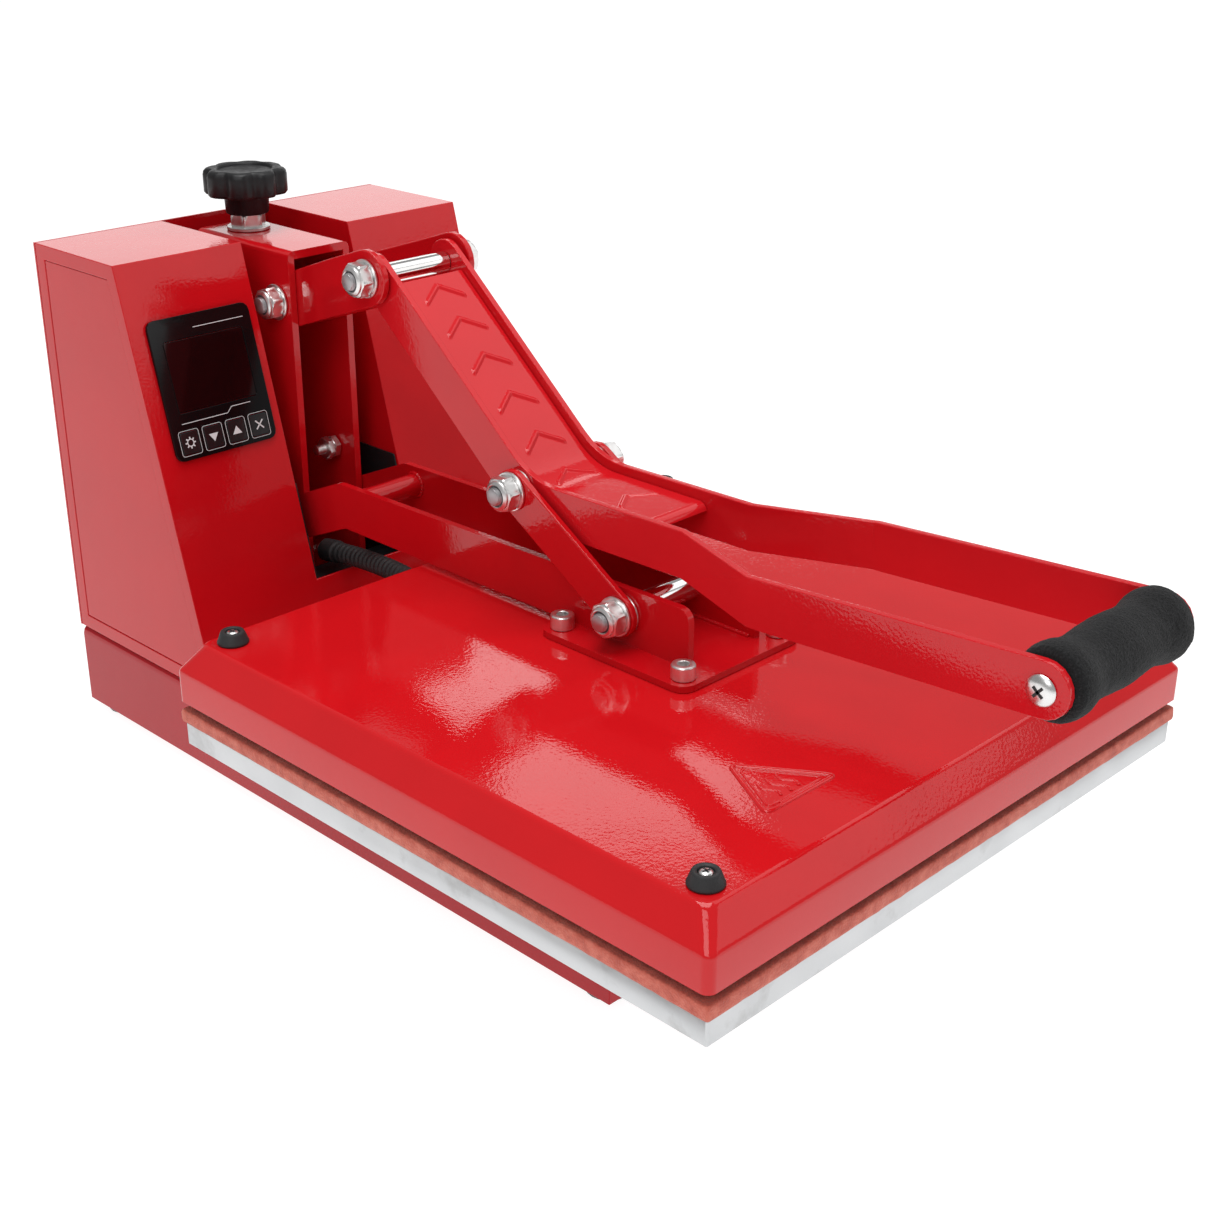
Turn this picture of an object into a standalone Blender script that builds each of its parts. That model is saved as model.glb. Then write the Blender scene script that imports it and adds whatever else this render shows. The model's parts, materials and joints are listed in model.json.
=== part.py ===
"""Clamshell heat press, 38 x 38 cm, closed.  Metres, +Z up, front of the press at -Y.

Everything is drawn about the middle of the platens, then moved back by ORIGIN_Y so that the
origin lies on the floor under the middle of the whole press.  Hinge A carries the upper platen,
pivot B joins its ears to the two links, pivot C joins the links to the lever, and the lever
turns about pivot D at the tip of the short bracket, which is bolted to the post at E.
"""
import math

import bmesh
import bpy
from mathutils import Vector

MM = 0.001
GAP = 0.3 * MM
ORIGIN_Y = 75.65 * MM

# Platens
PLATEN_HALF = 190 * MM
PLATEN_Z = (77 * MM, 90.2 * MM)
PAD_HALF = 192 * MM
PAD_Z = (90.5 * MM, 98.7 * MM)
HEAT_HALF = 186 * MM
HEAT_Z = (99 * MM, 111 * MM)
COVER_HALF = 192 * MM
COVER_TOP_HALF = 181 * MM
COVER_Z = (103.4 * MM, 123 * MM, 138 * MM)
COVER_SHEET = 1.5 * MM
INSULATION_Z = (111.3 * MM, 121 * MM)
BUMPER_AT = 169 * MM
CARRIER_Z = (138.3 * MM, 142 * MM)
SCREW_SPOTS = ((-37.5 * MM, 51.5 * MM), (37.5 * MM, 51.5 * MM),
               (-37.5 * MM, -36.5 * MM), (37.5 * MM, -36.5 * MM))

# Base, housing and post
BASE_X = 128 * MM
BASE_Y = (-73 * MM, 408 * MM)
BASE_Z = (6 * MM, 59 * MM)
SHEET = 1.5 * MM
TOWER_IN = 40 * MM
TOWER_TOP = 309 * MM
TOWER_FRONT_TOP_Y = 322.7 * MM
SLOPE_LEAN = 0.2661
SILL_Z = 106 * MM
FLANGE = 9 * MM
POST_X = (18.5 * MM, 23 * MM)
POST_Y = (300 * MM, 395 * MM)
POST_TOP = 303.6 * MM
STUD_AT = (319 * MM, 168 * MM)

# Linkage pivots, as (y, z)
PIVOT_A = (318 * MM, 128 * MM)
PIVOT_B = (14 * MM, 159.5 * MM)
PIVOT_C = (93.5 * MM, 208.5 * MM)
PIVOT_D = (211.5 * MM, 304.8 * MM)
PIVOT_E = (314 * MM, 271 * MM)
GRIP = (-247.5 * MM, 214 * MM)
CARRIER_ORIGIN = (0, *PIVOT_A)
LEVER_ORIGIN = (0, *PIVOT_D)
LEVER_PITCH = 40.3

BOLT_R = 5 * MM
HOLE_R = 5.3 * MM
SHAFT_R = 6 * MM
PLATE_IN = 24.2 * MM
PLATE_OUT = 28.2 * MM
LINK_IN = 30.4 * MM
LINK_OUT = 34.4 * MM
BRACKET_TIP_IN = 29.8 * MM
BRACKET_ROOT_IN = 14 * MM
BRACKET_SHEET = 4 * MM
ARM_SHIFT = 23.5 * MM
NUT_FLAT = 9 * MM
NUT_H = 10 * MM
WASHER_R = 11 * MM

# Pressure screw and knob
SCREW_Y = 371.5 * MM
SCREW_R = 6 * MM
KNOB_R = 26 * MM
FOOT_Z = 270.6 * MM

# Slanted fascia, measured down the slope from the tower's top front edge
FASCIA_X = (-117 * MM, -46.5 * MM)
FASCIA_V = (34.5 * MM, 117.5 * MM)
DISPLAY_X = (-109 * MM, -54 * MM)
DISPLAY_V = (48 * MM, 90 * MM)
KEY_X = (-106.2 * MM, -89.9 * MM, -73.6 * MM, -57.3 * MM)
KEY_V = 107.4 * MM
KEY_HALF = (6.2 * MM, 6.8 * MM)

# Fittings in the rear cover
INLET_X = (-112 * MM, -84 * MM)
INLET_Z = (84 * MM, 104 * MM)
SWITCH_X = (-70 * MM, -51 * MM)
SWITCH_Z = (81 * MM, 107 * MM)
FUSE_AT = (-98 * MM, 122 * MM)

# Planes a point can be drawn in: the index of the normal, then of the two drawn directions
AXES = {"x": (0, 1, 2), "y": (1, 0, 2), "z": (2, 0, 1)}


def clear_scene():
    for ob in list(bpy.data.objects):
        bpy.data.objects.remove(ob, do_unlink=True)


def material(name, colour, rough, metal=0.0):
    mat = bpy.data.materials.new(name)
    mat.use_nodes = True
    shader = mat.node_tree.nodes["Principled BSDF"]
    shader.inputs["Base Color"].default_value = (*colour, 1.0)
    shader.inputs["Roughness"].default_value = rough
    shader.inputs["Metallic"].default_value = metal
    return mat


def place(name, bm, mat, origin=(0, 0, 0), smooth=False):
    """Turn a bmesh drawn in world space into an object whose origin is at `origin`."""
    bmesh.ops.remove_doubles(bm, verts=bm.verts, dist=1e-6)
    bmesh.ops.recalc_face_normals(bm, faces=bm.faces)
    bmesh.ops.translate(bm, verts=bm.verts, vec=-Vector(origin))
    mesh = bpy.data.meshes.new(name)
    bm.to_mesh(mesh)
    bm.free()
    mesh.materials.append(mat)
    if smooth:
        mesh.shade_smooth()
        mesh.set_sharp_from_angle(angle=math.radians(35))
    ob = bpy.data.objects.new(name, mesh)
    ob.location = Vector(origin) - Vector((0, ORIGIN_Y, 0))
    bpy.context.scene.collection.objects.link(ob)
    return ob


def arc(centre, radius, start, end, steps):
    """Points on an arc, angles in degrees."""
    points = []
    for i in range(steps + 1):
        a = math.radians(start + (end - start) * i / steps)
        points.append((centre[0] + radius * math.cos(a), centre[1] + radius * math.sin(a)))
    return points


def circle(centre, radius, steps=14):
    return arc(centre, radius, 0, 360, steps)[:-1]


def rect(a0, a1, b0, b1):
    return [(a0, b0), (a1, b0), (a1, b1), (a0, b1)]


def rounded(points, radii, steps=3):
    """Round the corners of a polygon; `radii` is one radius or one for each corner."""
    n = len(points)
    if not isinstance(radii, (list, tuple)):
        radii = [radii] * n
    out = []
    for i in range(n):
        p = Vector(points[i])
        if radii[i] <= 0:
            out.append(tuple(p))
            continue
        a = (Vector(points[i - 1]) - p).normalized()
        b = (Vector(points[(i + 1) % n]) - p).normalized()
        half = math.acos(max(-1.0, min(1.0, a.dot(b)))) / 2
        cut = radii[i] / math.tan(half)
        centre = p + (a + b).normalized() * (radii[i] / math.sin(half))
        start = p + a * cut - centre
        end = p + b * cut - centre
        turn = math.atan2(start.x * end.y - start.y * end.x, start.dot(end))
        for k in range(steps + 1):
            t = turn * k / steps
            x = start.x * math.cos(t) - start.y * math.sin(t)
            y = start.x * math.sin(t) + start.y * math.cos(t)
            out.append((centre.x + x, centre.y + y))
    return out


def point(axis, depth, a, b):
    i, j, k = AXES[axis]
    p = [0.0, 0.0, 0.0]
    p[i], p[j], p[k] = depth, a, b
    return p


def plate(axis, lo, hi, outline, holes=()):
    """A flat plate with holes: `outline` and `holes` lie in the plane normal to `axis`."""
    bm = bmesh.new()
    edges = []
    for loop in [outline, *holes]:
        verts = [bm.verts.new(point(axis, lo, a, b)) for a, b in loop]
        for i, v in enumerate(verts):
            edges.append(bm.edges.new((v, verts[(i + 1) % len(verts)])))
    filled = bmesh.ops.triangle_fill(bm, use_beauty=True, use_dissolve=False, edges=edges)
    faces = [g for g in filled["geom"] if isinstance(g, bmesh.types.BMFace)]
    raised = bmesh.ops.extrude_face_region(bm, geom=faces, use_keep_orig=True)
    verts = [g for g in raised["geom"] if isinstance(g, bmesh.types.BMVert)]
    bmesh.ops.translate(bm, verts=verts, vec=Vector(point(axis, hi - lo, 0, 0)))
    return bm


def box(x0, x1, y0, y1, z0, z1):
    return plate("z", z0, z1, rect(x0, x1, y0, y1))


def turned(axis, centre, rings, steps=12):
    """A solid of round or hexagonal rings along an axis.

    Each ring is (position, radius) or (position, half width across flats, "hex").  A ring of
    radius 0 closes the end; otherwise the ends are capped flat.
    """
    bm = bmesh.new()
    loops = []
    for ring in rings:
        depth, radius = ring[0], ring[1]
        if radius == 0:
            loops.append([bm.verts.new(point(axis, depth, *centre))])
            continue
        loop = []
        for i in range(steps):
            a = 2 * math.pi * i / steps
            r = radius
            if len(ring) > 2:
                side = (a + math.pi / 6) % (math.pi / 3) - math.pi / 6
                r = radius / math.cos(side)
            c = centre[0] + r * math.cos(a)
            s = centre[1] + r * math.sin(a)
            loop.append(bm.verts.new(point(axis, depth, c, s)))
        loops.append(loop)
    for low, high in zip(loops, loops[1:]):
        join(bm, low, high)
    for end in (loops[0], loops[-1]):
        if len(end) > 1:
            bm.faces.new(end)
    return bm


def join(bm, low, high):
    """Faces between two loops of the same length, or between a loop and a single point."""
    n = max(len(low), len(high))
    for i in range(n):
        j = (i + 1) % n
        if len(low) == 1:
            bm.faces.new((low[0], high[i], high[j]))
        elif len(high) == 1:
            bm.faces.new((low[i], low[j], high[0]))
        else:
            bm.faces.new((low[i], low[j], high[j], high[i]))


def tube(axis, centre, lo, hi, outer, inner, steps=18):
    return plate(axis, lo, hi, circle(centre, outer, steps), [circle(centre, inner, steps)])


def pipe(path, radius, steps=12):
    """A round solid swept along a path of (point, radius factor) pairs."""
    bm = bmesh.new()
    loops = []
    for i, (p, factor) in enumerate(path):
        before = Vector(path[max(i - 1, 0)][0])
        after = Vector(path[min(i + 1, len(path) - 1)][0])
        along = (after - before).normalized()
        side = along.cross(Vector((1, 0, 0))).normalized()
        if side.length < 0.5:
            side = Vector((0, 0, 1))
        up = along.cross(side).normalized()
        loop = []
        for k in range(steps):
            a = 2 * math.pi * k / steps
            offset = side * math.cos(a) + up * math.sin(a)
            loop.append(bm.verts.new(Vector(p) + offset * radius * factor))
        loops.append(loop)
    for low, high in zip(loops, loops[1:]):
        join(bm, low, high)
    bm.faces.new(loops[0])
    bm.faces.new(loops[-1])
    return bm


def bend(bm, lines, shift):
    """Joggle a flat plate sideways: `lines` are two y values, `shift` the step in x."""
    for y in lines:
        geom = list(bm.verts) + list(bm.edges) + list(bm.faces)
        bmesh.ops.bisect_plane(bm, geom=geom, dist=1e-7, plane_co=(0, y, 0), plane_no=(0, 1, 0))
    start, end = lines
    for v in bm.verts:
        t = (v.co.y - start) / (end - start)
        v.co.x += shift * max(0.0, min(1.0, t))
    return bm


def combine(bm, others, operation):
    """Boolean `bm` with every bmesh in `others`, one after the other."""
    target = place("work", bm, WORK)
    made = [target]
    for i, other in enumerate(others):
        tool = place("tool%d" % i, other, WORK)
        made.append(tool)
        mod = target.modifiers.new("bool%d" % i, "BOOLEAN")
        mod.operation = operation
        mod.solver = "EXACT"
        mod.object = tool
    graph = bpy.context.evaluated_depsgraph_get()
    out = bmesh.new()
    out.from_mesh(target.evaluated_get(graph).to_mesh())
    bmesh.ops.remove_doubles(out, verts=out.verts, dist=2e-6)
    bmesh.ops.dissolve_degenerate(out, edges=out.edges, dist=2e-6)
    for ob in made:
        mesh = ob.data
        bpy.data.objects.remove(ob, do_unlink=True)
        bpy.data.meshes.remove(mesh)
    return out


def cut(bm, others):
    return combine(bm, others, "DIFFERENCE")


def union(bm, others):
    return combine(bm, others, "UNION")


def slope(v, n=0.0):
    """(y, z) of a point v down the slanted tower front and n out of it."""
    length = math.hypot(SLOPE_LEAN, 1)
    y = TOWER_FRONT_TOP_Y - (v * SLOPE_LEAN + n) / length
    z = TOWER_TOP - (v - n * SLOPE_LEAN) / length
    return y, z


def slope_plate(n0, n1, outline, holes=()):
    """A plate on the slanted tower front; the outline is in (x, distance down the slope)."""
    bm = plate("z", n0, n1, outline, holes)
    for v in bm.verts:
        y, z = slope(v.co.y, v.co.z)
        v.co = Vector((v.co.x, y, z))
    return bm


clear_scene()
WORK = bpy.data.materials.new("work")
RED = material("red_powder_coat", (0.55, 0.006, 0.010), 0.22)
ALU = material("cast_aluminium", (0.78, 0.80, 0.81), 0.38, 1.0)
PAD = material("silicone_foam", (0.52, 0.09, 0.06), 0.85)
ZINC = material("zinc_plate", (0.72, 0.72, 0.70), 0.25, 1.0)
CHROME = material("chrome_plate", (0.85, 0.85, 0.86), 0.08, 1.0)
RUBBER = material("black_rubber", (0.02, 0.02, 0.02), 0.7)
PLASTIC = material("black_plastic", (0.02, 0.02, 0.022), 0.45)
FOAM = material("black_foam", (0.018, 0.018, 0.018), 0.92)
GLOSS = material("fascia_black", (0.008, 0.008, 0.009), 0.08)
WINDOW = material("display_window", (0.03, 0.004, 0.005), 0.05)
KEYCAP = material("key_black", (0.012, 0.012, 0.013), 0.15)
WOOL = material("insulation", (0.75, 0.74, 0.70), 0.9)
BOARD = material("circuit_board", (0.02, 0.16, 0.06), 0.5)


def foot(name, x, y):
    rings = [(0, 12 * MM), (4.5 * MM, 14 * MM), (BASE_Z[0] - GAP, 14 * MM)]
    place(name, turned("z", (x, y), rings, 20), RUBBER, (x, y, 0), smooth=True)


def build_base():
    """Folded base box with an open floor, its feet, and the stand under the lower platen."""
    x, (y0, y1), (z0, z1) = BASE_X, BASE_Y, BASE_Z
    r = 6 * MM
    outer = rounded([(-x, z0), (x, z0), (x, z1), (-x, z1)], [0, 0, r, r], 3)
    shell = plate("y", y0, y1, outer)
    inner = box(-x + SHEET, x - SHEET, y0 + SHEET, y1 - SHEET, z0 + SHEET, z1 - SHEET - 1 * MM)
    lip = 16 * MM
    opening = box(-x + lip, x - lip, y0 + lip, y1 - lip, z0 - 1 * MM, z0 + 2 * SHEET)
    place("base_shell", cut(shell, [inner, opening]), RED)
    for name, fx, fy in (("foot_front_left", -1, 0), ("foot_front_right", 1, 0),
                         ("foot_rear_left", -1, 1), ("foot_rear_right", 1, 1)):
        foot(name, fx * (x - 17 * MM), (y0, y1)[fy] + (17 * MM, -17 * MM)[fy])
    ring = rounded(rect(-78 * MM, 78 * MM, -68 * MM, 158 * MM), 8 * MM)
    hole = rounded(rect(-75 * MM, 75 * MM, -65 * MM, 155 * MM), 5 * MM)
    stand = plate("z", z1 + GAP, PLATEN_Z[0] - GAP, ring, [hole])
    place("platen_stand", stand, RED)


def rounded_square(half, radius, steps=3):
    return rounded(rect(-half, half, -half, half), radius, steps)


def build_platens():
    place("lower_platen", plate("z", *PLATEN_Z, rounded_square(PLATEN_HALF, 1 * MM, 2)), ALU)
    place("silicone_pad", plate("z", *PAD_Z, rounded_square(PAD_HALF, 1 * MM, 2)), PAD)


def loft(bm, levels):
    """Loops of a rounded square at each (half, z, corner radius)."""
    loops = []
    for half, z, radius in levels:
        loops.append([bm.verts.new((a, b, z)) for a, b in rounded_square(half, radius)])
    for low, high in zip(loops, loops[1:]):
        join(bm, low, high)
    return loops


def build_cover():
    t = COVER_SHEET
    z0, z1, z2 = COVER_Z
    side, top = COVER_HALF, COVER_TOP_HALF
    bm = bmesh.new()
    levels = [(side - t, z0, 3.5 * MM), (side, z0, 5 * MM), (side, z1 - 1 * MM, 5 * MM),
              (side - 0.8 * MM, z1 + 1 * MM, 5 * MM),
              (top + 1.2 * MM, z2 - 1.4 * MM, 7 * MM), (top - 1.2 * MM, z2, 7 * MM)]
    outer = loft(bm, levels)
    bm.faces.new(outer[-1])
    inner = [(side - t, z1 - 1 * MM, 3.5 * MM), (top - t, z2 - t - 0.6 * MM, 5.5 * MM)]
    last = outer[0]
    for half, z, radius in inner:
        loop = [bm.verts.new((a, b, z)) for a, b in rounded_square(half, radius)]
        join(bm, last, loop)
        last = loop
    bm.faces.new(last)
    bore = [(z2 - 6 * MM, 4.4 * MM), (z2 + 4 * MM, 4.4 * MM)]
    holes = [turned("z", spot, bore, 16) for spot in SCREW_SPOTS]
    place("platen_cover", cut(bm, holes), RED, CARRIER_ORIGIN)


def build_heat_plate():
    z0, z1 = HEAT_Z
    boss = [(z1 - 1 * MM, 8 * MM), (COVER_Z[2] - COVER_SHEET - 1 * MM, 8 * MM)]
    tap = [(z1 + 4 * MM, 4.3 * MM), (COVER_Z[2] + 2 * MM, 4.3 * MM)]
    bosses = [turned("z", spot, boss, 16) for spot in SCREW_SPOTS]
    body = union(plate("z", z0, z1, rounded_square(HEAT_HALF, 4 * MM, 2)), bosses)
    taps = [turned("z", spot, tap, 16) for spot in SCREW_SPOTS]
    place("heat_plate", cut(body, taps), ALU, CARRIER_ORIGIN)
    outline = rounded_square(HEAT_HALF - 4 * MM, 4 * MM, 2)
    holes = [circle(spot, 9 * MM, 12) for spot in SCREW_SPOTS]
    blanket = plate("z", *INSULATION_Z, outline, holes)
    place("insulation_blanket", blanket, WOOL, CARRIER_ORIGIN)


def carrier_outline():
    """Side view of one ear plate, from the front of the platen back to hinge A."""
    b0 = CARRIER_Z[1] - 0.5 * MM
    ay, az = PIVOT_A
    r = 14 * MM
    front = -31.5 * MM
    tail = 33
    sine, cosine = math.sin(math.radians(tail)), math.cos(math.radians(tail))
    up = (ay + r * sine, az + r * cosine)
    down = (ay - r * sine, az - r * cosine)
    points = [(front, b0), (front, 174.5 * MM), (257 * MM, 169.5 * MM), up]
    points += arc(PIVOT_A, r, 90 - tail, -90 - tail, 10)[1:-1]
    points += [down, (252 * MM, b0)]
    radii = [0, 7 * MM, 14 * MM] + [0] * 11 + [9 * MM]
    return rounded(points, radii[:len(points) - 1] + [9 * MM])


def build_carrier():
    outline = carrier_outline()
    holes = [circle(PIVOT_B, HOLE_R), circle(PIVOT_A, SHAFT_R + GAP)]
    left = plate("x", -PLATE_OUT - 0.2 * MM, -PLATE_IN, outline, holes)
    right = plate("x", PLATE_IN, PLATE_OUT + 0.2 * MM, outline, holes)
    foot_plate = rounded(rect(-47.5 * MM, 47.5 * MM, -46 * MM, 61 * MM), 8 * MM)
    base = plate("z", *CARRIER_Z, foot_plate, [circle(s, 4.4 * MM) for s in SCREW_SPOTS])
    rung = turned("x", (247 * MM, 158 * MM), [(-26 * MM, 7 * MM), (26 * MM, 7 * MM)], 20)
    place("platen_carrier", union(base, [left, right, rung]), RED, CARRIER_ORIGIN)
    corners = ("rear_left", "rear_right", "front_left", "front_right")
    z = CARRIER_Z[1] + 0.2 * MM
    rings = [(118 * MM, 4 * MM), (z, 4 * MM), (z, 6.5 * MM), (z + 7.3 * MM, 6.5 * MM),
             (z + 8 * MM, 5.9 * MM), (z + 8 * MM, 3 * MM, "hex"), (z + 4 * MM, 3 * MM, "hex")]
    for spot, name in zip(SCREW_SPOTS, corners):
        place("carrier_screw_" + name, turned("z", spot, rings), ZINC, (*spot, z), smooth=True)
    z = COVER_Z[2] + GAP
    rings = [(z, 8.5 * MM), (z + 1 * MM, 8.5 * MM), (z + 5.8 * MM, 6.5 * MM),
             (z + 6.8 * MM, 5.6 * MM), (z + 6.8 * MM, 3.4 * MM), (z + 4.8 * MM, 3.1 * MM)]
    for (sx, sy), name in zip(((-1, 1), (1, 1), (-1, -1), (1, -1)), corners):
        at = (sx * BUMPER_AT, sy * BUMPER_AT)
        place("bumper_" + name, turned("z", at, rings, 20), RUBBER, (*at, z), smooth=True)


def fastener(sign, inner, faces, end, nut=True):
    """Rings of a bolt end: washers at `faces`, then a nut or a head, out to `end`."""
    rings = [(sign * inner, BOLT_R)]
    for lo, hi in faces:
        rings += [(sign * lo, BOLT_R), (sign * lo, WASHER_R)]
        rings += [(sign * hi, WASHER_R), (sign * hi, BOLT_R)]
    rings.pop()
    start = faces[-1][1]
    rings.append((sign * start, NUT_FLAT, "hex"))
    if not nut:
        return rings + [(sign * (end - 1 * MM), NUT_FLAT, "hex"), (sign * end, 8 * MM)]
    top = start + NUT_H
    rings += [(sign * (top - 2 * MM), NUT_FLAT, "hex"), (sign * (top - 1.2 * MM), 8.4 * MM)]
    rings += [(sign * top, 7.6 * MM), (sign * top, 5.6 * MM), (sign * (top - 0.8 * MM), BOLT_R)]
    return rings + [(sign * (end - 0.8 * MM), BOLT_R), (sign * end, 4.3 * MM)]


def through_bolt(faces):
    """A bolt from the right-hand head to the left-hand nut, with washers at `faces`."""
    start = faces[-1][1]
    left = fastener(-1, 0, faces, start + NUT_H + 1.6 * MM)
    right = fastener(1, 0, faces, start + 7.5 * MM, nut=False)
    return left[:0:-1] + right[1:]


def build_ears():
    """Bolt and spacer tube through the front of the carrier's ears."""
    faces = ((28.7 * MM, LINK_IN - GAP), (LINK_OUT + GAP, 36.4 * MM))
    at = (0, *PIVOT_B)
    place("ear_bolt", turned("x", PIVOT_B, through_bolt(faces)), ZINC, at, smooth=True)
    half = PLATE_IN - GAP
    spacer = tube("x", PIVOT_B, -half, half, 7.5 * MM, HOLE_R)
    place("ear_spacer", spacer, CHROME, at, smooth=True)


def link_outline():
    """Two rounded ends about C and B."""
    c, b = Vector(PIVOT_C), Vector(PIVOT_B)
    along = math.degrees(math.atan2(c.y - b.y, c.x - b.x))
    r = 12 * MM
    upper = arc(PIVOT_C, r, along - 90, along + 90, 8)
    return upper + arc(PIVOT_B, r, along + 90, along + 270, 8)


def build_links():
    holes = [circle(PIVOT_C, HOLE_R), circle(PIVOT_B, HOLE_R)]
    for name, lo, hi in (("link_left", -LINK_OUT, -LINK_IN), ("link_right", LINK_IN, LINK_OUT)):
        place(name, plate("x", lo, hi, link_outline(), holes), RED, (0, *PIVOT_B))
    inner, outer = 28.6 * MM, 36.4 * MM
    faces = ((inner, LINK_IN - GAP), (LINK_OUT + GAP, outer))
    left = fastener(-1, inner, faces, outer + NUT_H + 1.6 * MM)[1:]
    place("link_nut", turned("x", PIVOT_C, left), ZINC, (0, *PIVOT_C), smooth=True)
    right = fastener(1, inner, faces, outer + 7.5 * MM, nut=False)[1:]
    place("link_bolt_head", turned("x", PIVOT_C, right), ZINC, (0, *PIVOT_C), smooth=True)


def lever_outline():
    """Side view of one lever plate: end round D, slope, knee, and flat arm to the grip."""
    dy, dz = PIVOT_D
    r = 13 * MM
    t = math.radians(LEVER_PITCH)
    top = (dy - r * math.sin(t), dz + r * math.cos(t))
    low = (dy + r * math.sin(t), dz - r * math.cos(t))
    flat_top, flat_low = 214.6 * MM, 188.6 * MM
    knee_top = (top[0] - (top[1] - flat_top) / math.tan(t), flat_top)
    knee_low = (low[0] - (low[1] - flat_low) / math.tan(t), flat_low)
    end = arc(GRIP, 13.4 * MM, 86.5, 273.5, 10)
    points = [knee_top, (-86 * MM, 217.2 * MM)] + end + [(-92 * MM, 191.6 * MM), knee_low]
    points += arc(PIVOT_D, r, LEVER_PITCH - 90, LEVER_PITCH + 90, 10)
    radii = [50 * MM, 0] + [0] * 11 + [0, 20 * MM] + [0] * 11
    return rounded(points, radii, 5)


def strip(path, thickness):
    """Outline of a sheet whose top follows `path`; the sheet lies below it."""
    below = []
    for i, p in enumerate(path):
        a = Vector(path[max(i - 1, 0)])
        b = Vector(path[min(i + 1, len(path) - 1)])
        d = (b - a).normalized()
        below.append((p[0] + d.y * thickness, p[1] - d.x * thickness))
    return path + below[::-1]


def web_path():
    """Top line of the web from its front lip to its upper end near D."""
    t = math.radians(LEVER_PITCH)
    drop = 4.2 * MM
    top = Vector((PIVOT_D[0], PIVOT_D[1])) + Vector((-math.sin(t), math.cos(t))) * (13 * MM - drop)
    upper = top - Vector((math.cos(t), math.sin(t))) * 13.5 * MM
    flat = 210.4 * MM
    knee = (upper.x - (upper.y - flat) / math.tan(t), flat)
    lip = arc((9 * MM, flat - 6 * MM), 6 * MM, 165, 90, 4)
    r = 46 * MM
    cutback = r * math.tan(t / 2)
    curve = arc((knee[0] - cutback, flat + r), r, -90, -90 + LEVER_PITCH, 5)
    return lip + curve + [tuple(upper)]


def build_lever():
    outline = lever_outline()
    holes = [circle(PIVOT_D, HOLE_R), circle(PIVOT_C, HOLE_R), circle(GRIP, 3.3 * MM, 12)]
    lines = (-25 * MM, -88 * MM)
    left = bend(plate("x", -PLATE_OUT, -PLATE_IN, outline, holes), lines, -ARM_SHIFT)
    right = bend(plate("x", PLATE_IN, PLATE_OUT, outline, holes), lines, ARM_SHIFT)
    place("lever_plate_left", left, RED, LEVER_ORIGIN)
    place("lever_plate_right", right, RED, LEVER_ORIGIN)
    half = PLATE_IN - GAP
    web = plate("x", -half, half, strip(web_path(), 2 * MM))
    place("lever_web", web, RED, LEVER_ORIGIN)
    spacer = tube("x", PIVOT_D, -half, half, SHAFT_R, HOLE_R)
    place("lever_spacer", spacer, CHROME, LEVER_ORIGIN, smooth=True)
    core = [(-PLATE_OUT, BOLT_R), (PLATE_OUT, BOLT_R)]
    place("lever_cross_bolt", turned("x", PIVOT_C, core), ZINC, (0, *PIVOT_C), smooth=True)


def build_grip():
    """Foam sleeve with a swell in the middle and at each end, on a rod screwed to the arms."""
    inside = PLATE_IN + ARM_SHIFT - GAP
    end = inside - 0.7 * MM
    swell = [(-end, 15.5 * MM)]
    for i in range(1, 12):
        t = i / 12 - 0.5
        middle = 1.4 * math.exp(-(t / 0.17) ** 2)
        ends = 2.8 * math.exp(-((abs(t) - 0.42) / 0.10) ** 2)
        swell.append((2 * end * t, (15.2 + middle + ends) * MM))
    swell.append((end, 15.5 * MM))
    bore = 9.3 * MM
    bm = turned("x", GRIP, [(-end, bore)] + swell + [(end, bore)], 18)
    caps = [f for f in bm.faces if len(f.verts) > 4]
    bmesh.ops.delete(bm, geom=caps, context="FACES_ONLY")
    rims = [e for e in bm.edges if e.is_boundary]
    bmesh.ops.bridge_loops(bm, edges=rims)
    place("grip_foam", bm, FOAM, (0, *GRIP), smooth=True)
    outside = PLATE_OUT + ARM_SHIFT + GAP
    half = [(0, 9 * MM), (inside, 9 * MM), (inside, 3 * MM), (outside, 3 * MM),
            (outside, 7 * MM), (outside + 1 * MM, 6.7 * MM),
            (outside + 2.3 * MM, 4.6 * MM), (outside + 2.9 * MM, 1.5 * MM)]
    rings = [(-x, r) for x, r in half[:0:-1]] + half[1:]
    place("grip_rod", turned("x", GRIP, rings, 20), ZINC, (0, *GRIP), smooth=True)


def tower_profile(inset=0.0):
    """Side outline of the housing, moved inwards by `inset`."""
    z0 = BASE_Z[1] + GAP + inset
    z1 = TOWER_TOP - inset
    lean = inset * math.hypot(1, SLOPE_LEAN)
    bottom_y = TOWER_FRONT_TOP_Y - SLOPE_LEAN * (TOWER_TOP - z0) + lean
    top_y = TOWER_FRONT_TOP_Y - SLOPE_LEAN * (TOWER_TOP - z1) + lean
    y1 = BASE_Y[1] - inset
    return [(bottom_y, z0), (y1, z0), (y1, z1), (top_y, z1)]


def open_profile(inset):
    """The inset outline, run out through the bottom and the back."""
    (y0, z0), (y1, _), (_, z1), (y3, _) = tower_profile(inset)
    far, under = BASE_Y[1] + 5 * MM, BASE_Z[1] - 5 * MM
    return [(y0 - SLOPE_LEAN * (z0 - under), under), (far, under), (far, z1), (y3, z1)]


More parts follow.
